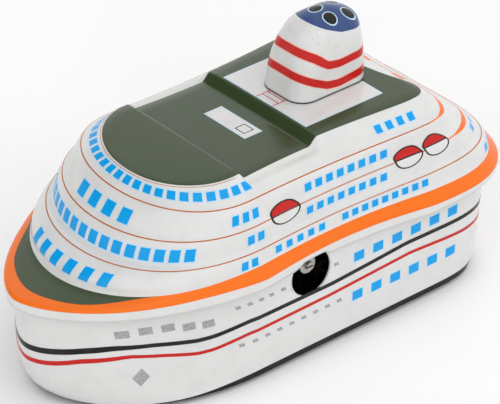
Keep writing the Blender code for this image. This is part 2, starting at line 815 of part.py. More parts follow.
def make_middle_arbor(arbor_material, gear_material):
    z = middle_height()
    shaft("intermediate_arbor", ARBOR_RADIUS, *ARBOR_ENDS, MIDDLE_X, z, arbor_material)
    toward_main = mesh_angle(MIDDLE_X, z, MAIN_X, MAIN_Z)
    toward_drive = mesh_angle(MIDDLE_X, z, DRIVE_X, AXLE_Z)
    wheel_disc(
        "intermediate_pinion",
        gear_outline(MIDDLE_PINION_TEETH, MAIN_MODULE, facing_phase(MIDDLE_PINION_TEETH, toward_main)),
        HOLE_RADIUS,
        *MIDDLE_PINION_Y,
        MIDDLE_X,
        z,
        arbor_material,
    )
    wheel_disc(
        "intermediate_gear",
        gear_outline(MIDDLE_TEETH, MIDDLE_MODULE, toward_drive),
        HOLE_RADIUS,
        *MIDDLE_GEAR_Y,
        MIDDLE_X,
        z,
        gear_material,
    )


def make_wheel(name, sign, x, hub_material, tyre_material):
    """A pressed wheel with a thick hub and a dished face, and a rubber tyre round it."""
    inner = WHEEL_INNER_FACE
    outer = WHEEL_INNER_FACE + WHEEL_WIDTH
    seat = WHEEL_RADIUS - TYRE_THICKNESS
    rim = seat - GAP
    profile = [
        (HOLE_RADIUS, inner),
        (HUB_RADIUS, inner),
        (HUB_RADIUS + HUB_SLOPE, inner + DISH_DEPTH),
        (rim - RIM_WIDTH, inner + DISH_DEPTH),
        (rim, inner + RIM_EDGE),
        (rim, outer - RIM_EDGE),
        (rim - RIM_WIDTH, outer - DISH_DEPTH),
        (HUB_RADIUS + HUB_SLOPE, outer - DISH_DEPTH),
        (HUB_RADIUS, outer),
        (HOLE_RADIUS, outer),
    ]
    turned(name, [(r, sign * y) for r, y in profile], x, AXLE_Z, hub_material, 24)
    tyre = [
        (seat, inner + RIM_EDGE),
        (WHEEL_RADIUS, inner + TYRE_ROUND),
        (WHEEL_RADIUS, outer - TYRE_ROUND),
        (seat, outer - RIM_EDGE),
    ]
    tyre_name = name.replace("wheel", "tyre")
    turned(tyre_name, [(r, sign * y) for r, y in tyre], x, AXLE_Z, tyre_material, 32)


def make_drive_axle(axle_material, gear_material, hub_material, tyre_material):
    shaft("drive_axle", ARBOR_RADIUS, -AXLE_END, AXLE_END, DRIVE_X, AXLE_Z, axle_material)
    toward_middle = mesh_angle(DRIVE_X, AXLE_Z, MIDDLE_X, middle_height())
    wheel_disc(
        "drive_pinion",
        gear_outline(DRIVE_PINION_TEETH, MIDDLE_MODULE, facing_phase(DRIVE_PINION_TEETH, toward_middle)),
        HOLE_RADIUS,
        *DRIVE_PINION_Y,
        DRIVE_X,
        AXLE_Z,
        gear_material,
    )
    make_wheel("drive_wheel_port", 1, DRIVE_X, hub_material, tyre_material)
    make_wheel("drive_wheel_starboard", -1, DRIVE_X, hub_material, tyre_material)


def make_front_axle(axle_material, bracket_material, hub_material, tyre_material, cutter_material):
    shaft("front_axle", ARBOR_RADIUS, -AXLE_END, AXLE_END, FRONT_AXLE_X, AXLE_Z, axle_material)
    make_wheel("front_wheel_port", 1, FRONT_AXLE_X, hub_material, tyre_material)
    make_wheel("front_wheel_starboard", -1, FRONT_AXLE_X, hub_material, tyre_material)
    # One strip bent into a U, whose ears carry the axle.
    ear_outer = PLATE_INNER_FACE + PLATE
    ear_inner = PLATE_INNER_FACE
    floor = PLATE_FOOT
    ear_top = AXLE_Z + 3 * MM
    section = (
        (-ear_outer, floor),
        (ear_outer, floor),
        (ear_outer, ear_top),
        (ear_inner, ear_top),
        (ear_inner, floor + PLATE),
        (-ear_inner, floor + PLATE),
        (-ear_inner, ear_top),
        (-ear_outer, ear_top),
    )
    bm = bmesh.new()
    back = [bm.verts.new((FRONT_AXLE_X - STRAP_HALF_WIDTH, y, z)) for y, z in section]
    front = [bm.verts.new((FRONT_AXLE_X + STRAP_HALF_WIDTH, y, z)) for y, z in section]
    bridge(bm, back, front)
    bm.faces.new(back)
    bm.faces.new(front)
    bracket = add_object("front_axle_bracket", bm, bracket_material, smooth=False)
    reach = ear_outer + 1 * MM
    drills = [drill("bracket_bearing", HOLE_RADIUS, -reach, reach, FRONT_AXLE_X, AXLE_Z, cutter_material)]
    drills += [
        drill_down(name, RIVET_RADIUS + GAP, x, y, *FOOT_DRILL, cutter_material)
        for name, (x, y) in rivet_places().items()
        if name.startswith("bracket")
    ]
    cut(bracket, drills)


def make_rivets(material):
    """Rivets through the base pan, with a flat head below it and a closing head above the foot."""
    head_top = PAN_BOTTOM - GAP
    closing = PLATE_FOOT + PLATE + GAP
    profile = (
        (0.0, head_top - RIVET_HEAD_HEIGHT),
        (RIVET_HEAD * 0.7, head_top - RIVET_HEAD_HEIGHT),
        (RIVET_HEAD, head_top),
        (RIVET_RADIUS, head_top),
        (RIVET_RADIUS, closing),
        (RIVET_HEAD * 0.8, closing),
        (RIVET_HEAD * 0.6, closing + RIVET_HEAD_HEIGHT),
        (0.0, closing + RIVET_HEAD_HEIGHT),
    )
    upright = Matrix.Rotation(math.radians(90), 4, "X")
    for name, (x, y) in rivet_places().items():
        rivet = turned(name, profile, 0.0, 0.0, material, 16)
        rivet.data.transform(upright)
        rivet.location = (x, y, 0.0)


def main():
    clear_scene()
    litho = make_material("litho_tin", (0.78, 0.78, 0.76), 0.25)
    base_black = make_material("black_enamel", (0.03, 0.03, 0.03), 0.3)
    steel = make_material("bright_steel", (0.55, 0.55, 0.53), 0.35, 1.0)
    plate_steel = make_material("tinned_plate", (0.5, 0.5, 0.48), 0.45, 1.0)
    brass = make_material("brass", (0.72, 0.52, 0.22), 0.35, 1.0)
    spring_steel = make_material("blued_spring_steel", (0.09, 0.1, 0.14), 0.35, 1.0)
    rubber = make_material("black_rubber", (0.03, 0.03, 0.03), 0.8)
    make_hull(litho, steel)
    make_base_pan(base_black, steel)
    make_superstructure(litho)
    make_funnel(litho)
    make_motor_plates(plate_steel, steel)
    make_pillars(steel)
    make_winding(steel, brass, spring_steel)
    make_click(plate_steel, steel, spring_steel)
    make_middle_arbor(steel, brass)
    make_drive_axle(steel, brass, plate_steel, rubber)
    make_front_axle(steel, plate_steel, plate_steel, rubber, steel)
    make_rivets(steel)


main()
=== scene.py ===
import math
from typing import NamedTuple

import bmesh
import bpy
import numpy as np
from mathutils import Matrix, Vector
from mathutils.bvhtree import BVHTree


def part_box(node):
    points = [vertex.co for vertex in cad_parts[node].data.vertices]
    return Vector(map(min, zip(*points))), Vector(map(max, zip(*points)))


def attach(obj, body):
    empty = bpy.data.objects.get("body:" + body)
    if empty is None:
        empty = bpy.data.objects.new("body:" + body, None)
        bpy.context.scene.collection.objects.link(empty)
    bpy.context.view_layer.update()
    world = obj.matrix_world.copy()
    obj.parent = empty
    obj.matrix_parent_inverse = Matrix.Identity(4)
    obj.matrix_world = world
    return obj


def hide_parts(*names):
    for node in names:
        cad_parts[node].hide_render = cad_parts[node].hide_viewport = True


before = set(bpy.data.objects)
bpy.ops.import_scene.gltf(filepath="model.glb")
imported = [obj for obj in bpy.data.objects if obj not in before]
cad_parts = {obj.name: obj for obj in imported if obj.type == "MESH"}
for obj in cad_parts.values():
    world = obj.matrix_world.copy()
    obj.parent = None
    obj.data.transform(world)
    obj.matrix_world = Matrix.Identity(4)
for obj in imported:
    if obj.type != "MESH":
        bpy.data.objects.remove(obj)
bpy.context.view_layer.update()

MM = 0.001
SHEET = 0.45 * MM
# A printed mark is a thin plate: it stands this far out of the sheet, and as far into it.
PRINT_LIFT = 0.03 * MM
PRINT_ROOT = 0.12 * MM

DECK_LOW, DECK_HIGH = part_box("superstructure_shell")
HULL_LOW, HULL_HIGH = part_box("hull_shell")
PAN_LOW, PAN_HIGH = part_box("base_pan")
FUNNEL_LOW, FUNNEL_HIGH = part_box("funnel")
ARBOR_LOW, ARBOR_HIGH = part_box("winding_arbor")
ARBOR_X = (ARBOR_LOW.x + ARBOR_HIGH.x) / 2
ARBOR_Z = (ARBOR_LOW.z + ARBOR_HIGH.z) / 2
# The rim is the ship's widest line. Heights on the deckhouse are measured from it.
RIM_Z = HULL_HIGH.z + 0.3 * MM
BOW_X = DECK_HIGH.x + 0.8 * MM
STERN_X = DECK_LOW.x
SHOULDER_X = 20.0 * MM
QUARTER_X = -36.0 * MM

# --- Materials ---------------------------------------------------------------------------------


class Nodes:
    """Short calls for one material's node tree."""

    def __init__(self, name):
        self.material = bpy.data.materials.new(name)
        self.material.use_nodes = True
        self.tree = self.material.node_tree
        self.shader = self.tree.nodes["Principled BSDF"]
        place = self.tree.nodes.new("ShaderNodeTexCoord")
        scaled = self.tree.nodes.new("ShaderNodeVectorMath")
        scaled.operation = "SCALE"
        scaled.inputs["Scale"].default_value = 1 / MM
        self.tree.links.new(place.outputs["Object"], scaled.inputs[0])
        self.mm = scaled.outputs[0]

    def put(self, socket, value):
        """Sets a socket, or links it if the value is another node's output."""
        if isinstance(value, bpy.types.NodeSocket):
            self.tree.links.new(value, socket)
        elif value is not None:
            if isinstance(value, tuple) and len(value) == 3 and socket.type == "RGBA":
                value = (*value, 1.0)
            socket.default_value = value

    def math(self, operation, first, second=None, third=None, clamp=False):
        node = self.tree.nodes.new("ShaderNodeMath")
        node.operation = operation
        node.use_clamp = clamp
        for socket, value in zip(node.inputs, (first, second, third)):
            self.put(socket, value)
        return node.outputs[0]

    def noise(self, scale, detail=2.0, roughness=0.5, stretch=(1.0, 1.0, 1.0), turn=(0.0, 0.0, 0.0)):
        mapping = self.tree.nodes.new("ShaderNodeMapping")
        mapping.inputs["Scale"].default_value = stretch
        mapping.inputs["Rotation"].default_value = turn
        self.put(mapping.inputs["Vector"], self.mm)
        node = self.tree.nodes.new("ShaderNodeTexNoise")
        node.inputs["Scale"].default_value = scale
        node.inputs["Detail"].default_value = detail
        node.inputs["Roughness"].default_value = roughness
        self.put(node.inputs["Vector"], mapping.outputs[0])
        return node.outputs["Fac"]

    def ramp(self, value, low, high, at_low=0.0, at_high=1.0):
        node = self.tree.nodes.new("ShaderNodeMapRange")
        node.inputs["From Min"].default_value = low
        node.inputs["From Max"].default_value = high
        node.inputs["To Min"].default_value = at_low
        node.inputs["To Max"].default_value = at_high
        self.put(node.inputs["Value"], value)
        return node.outputs[0]

    def mix(self, part, first, second):
        node = self.tree.nodes.new("ShaderNodeMix")
        node.data_type = "RGBA"
        self.put(node.inputs[0], part)
        self.put(node.inputs[6], first)
        self.put(node.inputs[7], second)
        return node.outputs[2]

    def bump(self, height, strength, distance):
        node = self.tree.nodes.new("ShaderNodeBump")
        node.inputs["Strength"].default_value = strength
        node.inputs["Distance"].default_value = distance
        self.put(node.inputs["Height"], height)
        self.put(self.shader.inputs["Normal"], node.outputs[0])


def srgb(red, green, blue):
    """A colour from its 0-255 screen values."""
    channels = []
    for value in (red, green, blue):
        part = value / 255
        channels.append(part / 12.92 if part <= 0.04045 else ((part + 0.055) / 1.055) ** 2.4)
    return tuple(channels)


BARE_TIN = srgb(92, 88, 84)
GRIME = srgb(120, 112, 100)
WHITE = srgb(214, 214, 213)
GREEN = srgb(48, 64, 34)
ORANGE = srgb(238, 110, 10)
BLUE = srgb(0, 154, 224)
PALE_BLUE = srgb(70, 168, 232)
HALO_BLUE = srgb(190, 216, 232)
RED = srgb(192, 32, 28)
PINK = srgb(232, 190, 178)
BLACK = srgb(24, 24, 25)
FUNNEL_BLUE = srgb(24, 60, 118)
LINE_BROWN = srgb(182, 92, 12)
GREY = srgb(112, 112, 112)


def enamel(name, colour, wear=0.5, roughness=0.2, tint=None, shine=0.5):
    """Printed and varnished tin: a faint mottle, small chips down to bare metal, and hairline scratches."""
    nodes = Nodes(name)
    mottle = nodes.noise(0.16, 4.0, 0.6)
    dusty = nodes.mix(nodes.ramp(mottle, 0.45, 0.8, 0.0, 0.1), colour, tint or GRIME)
    fleck_mask = nodes.ramp(nodes.noise(2.2, 3.0, 0.7), 0.735 - 0.05 * wear, 0.75 - 0.05 * wear)
    fleck_zone = nodes.ramp(nodes.noise(0.09, 2.0), 0.5, 0.6)
    chips = nodes.math("MULTIPLY", fleck_mask, fleck_zone)
    scratch = nodes.ramp(nodes.noise(1.1, 2.0, 0.6, (0.18, 0.18, 2.6), (0.3, 0.5, 0.2)), 0.71, 0.74)
    scratch_zone = nodes.ramp(nodes.noise(0.12, 2.0), 0.56, 0.66)
    scratches = nodes.math("MULTIPLY", scratch, scratch_zone)
    scratches = nodes.math("MULTIPLY", scratches, 0.5 * wear)
    damage = nodes.math("MAXIMUM", chips, scratches)
    nodes.put(nodes.shader.inputs["Base Color"], nodes.mix(damage, dusty, BARE_TIN))
    gloss = nodes.ramp(nodes.noise(0.5, 3.0), 0.3, 0.8, roughness - 0.05, roughness + 0.1)
    rougher = nodes.math("MULTIPLY", damage, 0.2)
    nodes.put(nodes.shader.inputs["Roughness"], nodes.math("ADD", gloss, rougher))
    nodes.shader.inputs["Specular IOR Level"].default_value = shine
    relief = nodes.math("SUBTRACT", nodes.noise(0.35, 3.0, 0.55), nodes.math("MULTIPLY", damage, 0.35))
    nodes.bump(relief, 0.35, 0.00012)
    return nodes


def metal(name, colour, roughness, stretch=(1.0, 1.0, 1.0)):
    """Bare metal with fine drawing lines and oily patches."""
    nodes = Nodes(name)
    lines = nodes.noise(3.0, 3.0, 0.6, stretch)
    darker = tuple(part * 0.62 for part in colour)
    nodes.put(nodes.shader.inputs["Base Color"], nodes.mix(nodes.ramp(lines, 0.3, 0.75), colour, darker))
    oily = nodes.ramp(nodes.noise(0.4, 3.0), 0.3, 0.7, roughness, roughness + 0.2)
    nodes.put(nodes.shader.inputs["Roughness"], oily)
    nodes.shader.inputs["Metallic"].default_value = 1.0
    nodes.bump(lines, 0.25, 0.00003)
    return nodes.material


def hatch(name):
    """Slanting pencil-like strokes of grey on white."""
    nodes = Nodes(name)
    strokes = nodes.noise(6.0, 2.0, 0.6, (1.0, 1.0, 1.4), (0.5, 0.7, 0.0))
    ink = nodes.ramp(strokes, 0.4, 0.62, 1.0, 0.25)
    nodes.put(nodes.shader.inputs["Base Color"], nodes.mix(ink, WHITE, GREY))
    nodes.shader.inputs["Roughness"].default_value = 0.25
    nodes.bump(nodes.noise(0.5, 3.0), 0.3, 0.0001)
    return nodes.material


def rubber(name):
    nodes = Nodes(name)
    dust = nodes.ramp(nodes.noise(0.8, 4.0), 0.45, 0.8)
    nodes.put(nodes.shader.inputs["Base Color"], nodes.mix(dust, srgb(38, 37, 36), srgb(84, 80, 74)))
    nodes.shader.inputs["Roughness"].default_value = 0.8
    nodes.bump(nodes.noise(4.0, 2.0), 0.4, 0.00005)
    return nodes.material


# --- Surfaces ----------------------------------------------------------------------------------


class Level(NamedTuple):
    """One outline of the ship: half-beams are at the bow's shoulder, amidships and at the quarter."""

    height: float
    bow: float
    shoulder: float
    along_power: float
    across_power: float
    waist: float
    quarter: float
    stern: float
    bow_drop: float = 0.0
    stern_drop: float = 0.0
    stern_power: float = 3.4
    hollow: float = 0.0


BOW_STATIONS = 40
STERN_STATIONS = 30
ROOF_STEP = (-7.8 * MM, -4.9 * MM)
ROOF_RIDGE = (16.4 * MM, 18.6 * MM)
BOW_LEAN = 1.8 * MM


def side_stations():
    """Parts of the side from the shoulder to the quarter, closer together at the roof's ridge and step."""
    places = list(np.linspace(SHOULDER_X, QUARTER_X, 30, endpoint=False))
    for low, high in (ROOF_STEP, ROOF_RIDGE):
        places += list(np.linspace(low - 0.4 * MM, high + 0.4 * MM, 9))
    places = sorted(set(places), reverse=True)
    return [(SHOULDER_X - x) / (SHOULDER_X - QUARTER_X) for x in places]


SIDE_PARTS = side_stations()


def placed(points, side=1.0):
    """Port places as they lie on the ship's port (1) or starboard (-1) side. The bow leans a little to port."""
    points = np.array(points)
    lean = BOW_LEAN * smooth_step((points[..., 0] - 25 * MM) / (40 * MM))
    points[..., 1] = points[..., 1] * side + lean
    return points


def smooth_step(part):
    part = np.clip(part, 0.0, 1.0)
    return part * part * (3 - 2 * part)


def outline(level):
    """(x, y) from the bow tip down the port side to the middle of the stern, as two arrays."""
    turn = np.linspace(0, math.pi / 2, BOW_STATIONS, endpoint=False)
    bow_x = SHOULDER_X + (level.bow - SHOULDER_X) * np.cos(turn) ** (2 / level.along_power)
    bow_y = level.shoulder * np.sin(turn) ** (2 / level.across_power)
    part = np.array(SIDE_PARTS)
    sag = (level.shoulder + level.quarter) / 2 - level.waist
    side_x = SHOULDER_X + (QUARTER_X - SHOULDER_X) * part
    straight = level.shoulder + (level.quarter - level.shoulder) * smooth_step(part)
    side_y = straight - sag * (4 * part * (1 - part)) ** 1.3
    turn = np.linspace(0, math.pi / 2, STERN_STATIONS)
    stern_x = QUARTER_X + (level.stern - QUARTER_X) * np.sin(turn) ** (2 / level.stern_power)
    stern_y = level.quarter * np.maximum(np.cos(turn), 0.0) ** (2 / level.stern_power)
    stern_y[-1] = 0.0
    stern_x = stern_x + level.hollow * (1 - (stern_y / level.quarter) ** 2) ** 2
    return np.concatenate([bow_x, side_x, stern_x]), np.concatenate([bow_y, side_y, stern_y])


def sheer(level, x):
    """The level's height along the ship, which droops towards both ends."""
    toward_bow = smooth_step((x - 14 * MM) / (level.bow - 14 * MM))
    toward_stern = smooth_step((-14 * MM - x) / (-14 * MM - level.stern))
    return level.height - level.bow_drop * toward_bow - level.stern_drop * toward_stern


class Surface:
    """A shell's outer surface: rows of points up it, each from the bow round the port side to the stern."""

    def __init__(self, grid):
        self.grid = grid
        steps = np.linalg.norm(np.diff(grid, axis=1), axis=2)
        self.arc = np.concatenate([np.zeros((len(grid), 1)), np.cumsum(steps, axis=1)], axis=1)
        self.rows, self.stations = grid.shape[:2]

    def at(self, row, station, side=1.0):
        row = min(max(row, 0.0), self.rows - 1.0)
        station = min(max(station, 0.0), self.stations - 1.0)
        low_row, low_station = min(int(row), self.rows - 2), min(int(station), self.stations - 2)
        up, along = row - low_row, station - low_station
        corners = self.grid[low_row : low_row + 2, low_station : low_station + 2]
        point = (corners[0, 0] * (1 - along) + corners[0, 1] * along) * (1 - up)
        point = point + (corners[1, 0] * (1 - along) + corners[1, 1] * along) * up
        return placed(point, side)

    def normal(self, row, station, side=1.0):
        reach = 0.4
        along = self.at(row, station + reach, side) - self.at(row, station - reach, side)
        up = self.at(row + reach, station, side) - self.at(row - reach, station, side)
        found = np.cross(along, up) * side
        return found / max(np.linalg.norm(found), 1e-12)

    def row_values(self, row, values):
        low = min(int(row), self.rows - 2)
        return values[low] * (1 - (row - low)) + values[low + 1] * (row - low)

    def station_at_arc(self, row, arc):
        return float(np.interp(arc, self.row_values(row, self.arc), np.arange(self.stations)))

    def station_at_x(self, row, x):
        xs = self.row_values(row, self.grid[:, :, 0])
        return float(np.interp(-x, -xs, np.arange(self.stations)))

    def column(self, station):
        """The points up the surface at a station, one for each row."""
        low = min(int(station), self.stations - 2)
        along = station - low
        return self.grid[:, low] * (1 - along) + self.grid[:, low + 1] * along

    def row_beyond(self, row, station, distance):
        """The row that lies this far up the surface from another row."""
        steps = np.linalg.norm(np.diff(self.column(station), axis=0), axis=1)
        length = np.concatenate([[0.0], np.cumsum(steps)])
        start = np.interp(row, np.arange(self.rows), length)
        return float(np.interp(start + distance, length, np.arange(self.rows)))

    def row_where(self, station, rise):
        """The row where rise, a function of points, passes zero on its way up."""
        values = np.maximum.accumulate(rise(self.column(station)))
        return float(np.interp(0.0, values, np.arange(self.rows)))

    def marked(self, row, arc, up=0.0):
        """(row, station, side) of the place this far round from the bow tip, and this far up from a row."""
        side = 1.0 if arc >= 0 else -1.0
        station = self.station_at_arc(row, abs(arc))
        return self.row_beyond(row, station, up) if up else row, station, side

    def lifted(self, place, lift):
        row, station, side = place
        return self.at(row, station, side) + self.normal(row, station, side) * lift


def smoothed_rows(grid, rounds, keep=()):
    """Rounds the corners of the section a little, and leaves the first, the last and the kept rows."""
    for _ in range(rounds):
        softer = grid.copy()
        softer[1:-1] = grid[:-2] * 0.25 + grid[1:-1] * 0.5 + grid[2:] * 0.25
        for row in keep:
            softer[row] = grid[row]
        grid = softer
    return grid


def level_grid(levels, splits):
    """Rows of points through the levels, with extra rows between each two."""
    rings = []
    for level in levels:
        x, y = outline(level)
        rings.append(np.stack([x, y, sheer(level, x)], axis=1))
    rows = []
    for low, high in zip(rings, rings[1:]):
        for step in range(splits):
            rows.append(low + (high - low) * step / splits)
    rows.append(rings[-1])
    return np.array(rows)


def new_object(name, vertices, faces, materials, face_material=None, smooth_angle=38):
    mesh = bpy.data.meshes.new(name)
    mesh.from_pydata([tuple(v) for v in vertices], [], faces)
    for material in materials:
        mesh.materials.append(material)
    if face_material is not None:
        mesh.polygons.foreach_set("material_index", face_material)
    mesh.validate()
    mesh.update()
    mesh.shade_smooth()
    mesh.set_sharp_from_angle(angle=math.radians(smooth_angle))
    obj = bpy.data.objects.new(name, mesh)
    bpy.context.scene.collection.objects.link(obj)
    return obj


def thicken(obj, thickness):
    modifier = obj.modifiers.new("Sheet", "SOLIDIFY")
    modifier.thickness = thickness
    modifier.offset = -1.0
    modifier.use_even_offset = False
    return modifier


def joined(rows, count):
    """The faces that join this many rings, each of count points, into a tube."""
    faces = []
    for low in range(0, (rows - 1) * count, count):
        for place in range(count):
            beyond = (place + 1) % count
            faces.append([low + place, low + beyond, low + count + beyond, low + count + place])
    return faces


def face_outward(mesh):
    bm = bmesh.new()
    bm.from_mesh(mesh)
    bmesh.ops.recalc_face_normals(bm, faces=bm.faces)
    bm.to_mesh(mesh)
    bm.free()


def cut_out(shell, name, mesh):
    """Cuts a mesh's shape out of a shell, and returns the hidden object that does it."""
    cutter = bpy.data.objects.new(name, mesh)
    cutter.hide_render = True
    cutter.hide_viewport = True
    bpy.context.scene.collection.objects.link(cutter)
    opening = shell.modifiers.new("Opening", "BOOLEAN")
    opening.operation = "DIFFERENCE"
    opening.solver = "EXACT"
    opening.object = cutter
    return cutter


def ringed(surface):
    """A surface's rows joined into rings round both sides, as (vertices, faces, the top ring)."""
    stations = surface.stations
    ring = [(s, 1.0) for s in range(stations)] + [(s, -1.0) for s in range(stations - 2, 0, -1)]
    vertices = []
    for row in range(surface.rows):
        vertices += [surface.at(row, station, side) for station, side in ring]
    count = len(ring)
    top = (surface.rows - 1) * count
    return vertices, joined(surface.rows, count), list(range(top, top + count))


class Print:
    """Flat marks of one colour, gathered into one mesh of thin closed plates that follow a surface."""

    def __init__(self, name, material, slot, layer=1):
        self.name, self.material, self.slot = name, material, slot
        self.lift = PRINT_LIFT * layer
        self.vertices, self.faces = [], []

    def plate(self, surface, places):
        """places is a grid of (row, station, side), row by row from the bottom, each from bow to stern."""
        front = [[surface.lifted(place, self.lift) for place in line] for line in places]
        back = [[surface.lifted(place, -PRINT_ROOT) for place in line] for line in places]
        self.sheet(front, back)

    def flat(self, points, normal=(0.0, 0.0, 1.0)):
        """points is a grid of places on a surface with one normal."""
        out = np.array(normal)
        front = [[np.array(point) + out * self.lift for point in line] for line in points]
        back = [[np.array(point) - out * PRINT_ROOT for point in line] for line in points]
        self.sheet(front, back)

    def cast(self, tree, points):
        """Drops a grid of places straight down onto a surface."""
        front, back = [], []
        for line in points:
            hits = [tree.ray_cast(Vector(point), Vector((0.0, 0.0, -1.0)))[:2] for point in line]
            front.append([np.array(place + normal * self.lift) for place, normal in hits])
            back.append([np.array(place - normal * PRINT_ROOT) for place, normal in hits])
        self.sheet(front, back)

    def sheet(self, front, back):
        high, wide = len(front), len(front[0])
        base = len(self.vertices)
        for layer in (front, back):
            for line in layer:
                self.vertices += line
        count = high * wide

        def corner(row, column, back):
            return base + back * count + row * wide + column

        quads = []
        for row in range(high - 1):
            for column in range(wide - 1):
                ring = [(row, column), (row, column + 1), (row + 1, column + 1), (row + 1, column)]
                quads.append([corner(r, c, 0) for r, c in ring])
                quads.append([corner(r, c, 1) for r, c in reversed(ring)])
        border = [(0, c) for c in range(wide)] + [(r, wide - 1) for r in range(1, high)]
        border += [(high - 1, c) for c in range(wide - 2, -1, -1)]
        border += [(r, 0) for r in range(high - 2, 0, -1)]
        for (r0, c0), (r1, c1) in zip(border, border[1:] + border[:1]):
            quads.append([corner(r1, c1, 0), corner(r0, c0, 0), corner(r0, c0, 1), corner(r1, c1, 1)])
        self.faces += quads

    def done(self, body="ship"):
        obj = new_object(self.name, self.vertices, self.faces, [self.material], smooth_angle=60)
        face_outward(obj.data)
        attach(obj, body)
        return obj


# --- Superstructure ----------------------------------------------------------------------------

FORE_ROOF = RIM_Z + 21.9 * MM
RIDGE_ROOF = RIM_Z + 23.1 * MM
MIDDLE_ROOF = RIM_Z + 21.2 * MM
AFT_ROOF = FUNNEL_LOW.z - 0.3 * MM


def roof_height(x):
    """The roof's height along the ship: fore hump, ridge, middle, step and aft roof."""
    fore_part = np.clip((x - ROOF_RIDGE[1]) / (DECK_HIGH.x * 0.5 - ROOF_RIDGE[1]), 0, 1)
    fore = RIDGE_ROOF - (RIDGE_ROOF - FORE_ROOF) * fore_part**1.4
    ridge = smooth_step((x - ROOF_RIDGE[0]) / (ROOF_RIDGE[1] - ROOF_RIDGE[0]))
    step = smooth_step((ROOF_STEP[1] - x) / (ROOF_STEP[1] - ROOF_STEP[0]))
    return MIDDLE_ROOF + (fore - MIDDLE_ROOF) * ridge + (AFT_ROOF - MIDDLE_ROOF) * step


# Each tier is a wall that leans in as it rises, and a narrow ledge to the next one. For each, in millimetres:
# how hollow the middle of its stern is, and rows of (height above the rim, bow, shoulder, waist, quarter, stern).
TIERS = (
    (
        2.0,
        (
            (3.6, 59.8, 32.9, 32.0, 33.6, -69.2),
            (5.3, 57.4, 32.7, 31.9, 33.4, -68.2),
            (6.7, 54.0, 32.4, 31.7, 33.2, -66.8),
            (7.2, 51.7, 31.1, 30.3, 32.0, -65.2),
        ),
    ),
    (
        3.4,
        (
            (9.4, 51.0, 31.0, 30.1, 31.7, -63.6),
            (11.2, 50.0, 30.9, 30.1, 31.5, -62.0),
            (12.7, 48.0, 30.6, 29.9, 31.2, -60.4),
            (13.2, 46.8, 29.3, 28.6, 29.8, -59.0),
        ),
    ),
    (
        2.4,
        (
            (15.2, 45.2, 28.9, 28.4, 29.6, -55.2),
            (17.2, 43.3, 28.5, 28.2, 29.4, -53.4),
            (18.6, 41.4, 27.8, 27.6, 29.0, -51.6),
            (19.1, 40.3, 26.4, 26.2, 27.4, -50.2),
        ),
    ),
)


def deck_levels():
    """The levels of the deckhouse from the skirt's lower edge to the foot of the roof's edge."""
    z = RIM_Z
    rim = Level(z, BOW_X, 35.2 * MM, 1.66, 1.62, 33.3 * MM, 36.3 * MM, STERN_X, 0.8 * MM, 2.0 * MM, 2.9)
    skirt = rim._replace(height=z - 3.3 * MM, bow_drop=0.0, stern_drop=-0.2 * MM)
    lip = rim._replace(height=z + 0.5 * MM, bow=BOW_X - 0.3 * MM)
    lip = lip._replace(shoulder=35.0 * MM, waist=33.2 * MM, quarter=36.2 * MM)
    bead = Level(z + 2.4 * MM, BOW_X - 3.2 * MM, 33.7 * MM, 1.8, 1.72, 32.5 * MM, 34.9 * MM, STERN_X + 1.8 * MM)
    bead = bead._replace(bow_drop=2.3 * MM, stern_drop=2.2 * MM, stern_power=2.9)
    foot = Level(z + 2.7 * MM, 60.4 * MM, 33.2 * MM, 2.2, 1.95, 32.2 * MM, 34.2 * MM, STERN_X + 3.2 * MM)
    foot = foot._replace(bow_drop=1.5 * MM, stern_drop=1.8 * MM, stern_power=3.0)
    tiers = [skirt, rim, lip, bead, foot]
    for hollow, rows in TIERS:
        for height, *outer in rows:
            bow, shoulder, waist, quarter, stern = (place * MM for place in outer)
            level = Level(z + height * MM, bow, shoulder, 2.25, 2.05, waist, quarter, stern)
            tiers.append(level._replace(stern_power=3.1, hollow=hollow * MM))
    top = Level(z + 20.3 * MM, 39.2 * MM, 24.8 * MM, 2.2, 2.0, 24.4 * MM, 26.0 * MM, -48.8 * MM)
    tiers.append(top._replace(hollow=3.4 * MM))
    return tiers


ROOF_EDGE = Level(0.0, 37.2 * MM, 22.3 * MM, 2.05, 2.0, 21.4 * MM, 23.4 * MM, -46.0 * MM)
ROOF_EDGE = ROOF_EDGE._replace(stern_power=4.0, hollow=6.0 * MM)
ROOF_CROWN = 0.2 * MM
SPLITS = 4


def roof_ring(inset, drop):
    level = ROOF_EDGE._replace(
        bow=ROOF_EDGE.bow - inset,
        shoulder=ROOF_EDGE.shoulder - inset,
        waist=ROOF_EDGE.waist - inset,
        quarter=ROOF_EDGE.quarter - inset,
        stern=ROOF_EDGE.stern + inset,
    )
    x, y = outline(level)
    return np.stack([x, y, roof_height(x) - drop], axis=1)


def roof_point(x, y):
    """The roof's height at a place, with its slight crown."""
    half = float(np.interp(-x, -ROOF_OUTLINE[:, 0], ROOF_OUTLINE[:, 1]))
    part = y / max(half, 1e-6)
    return roof_height(x) + ROOF_CROWN * (1 - part * part) * min(half / (10 * MM), 1.0)


def deck_surface():
    grid = level_grid(deck_levels(), SPLITS)
    grid = smoothed_rows(grid, 2, keep=(SPLITS,))
    # The roof's edge is a small round over the top of the fourth tier.
    edge = [roof_ring(-0.7 * MM, 0.9 * MM), roof_ring(-0.25 * MM, 0.35 * MM), roof_ring(0.3 * MM, 0.05 * MM)]
    start = grid[-1]
    between = [start + (edge[0] - start) * part for part in (0.34, 0.67)]
    return Surface(np.concatenate([grid, np.array(between + edge)]))


decks = deck_surface()
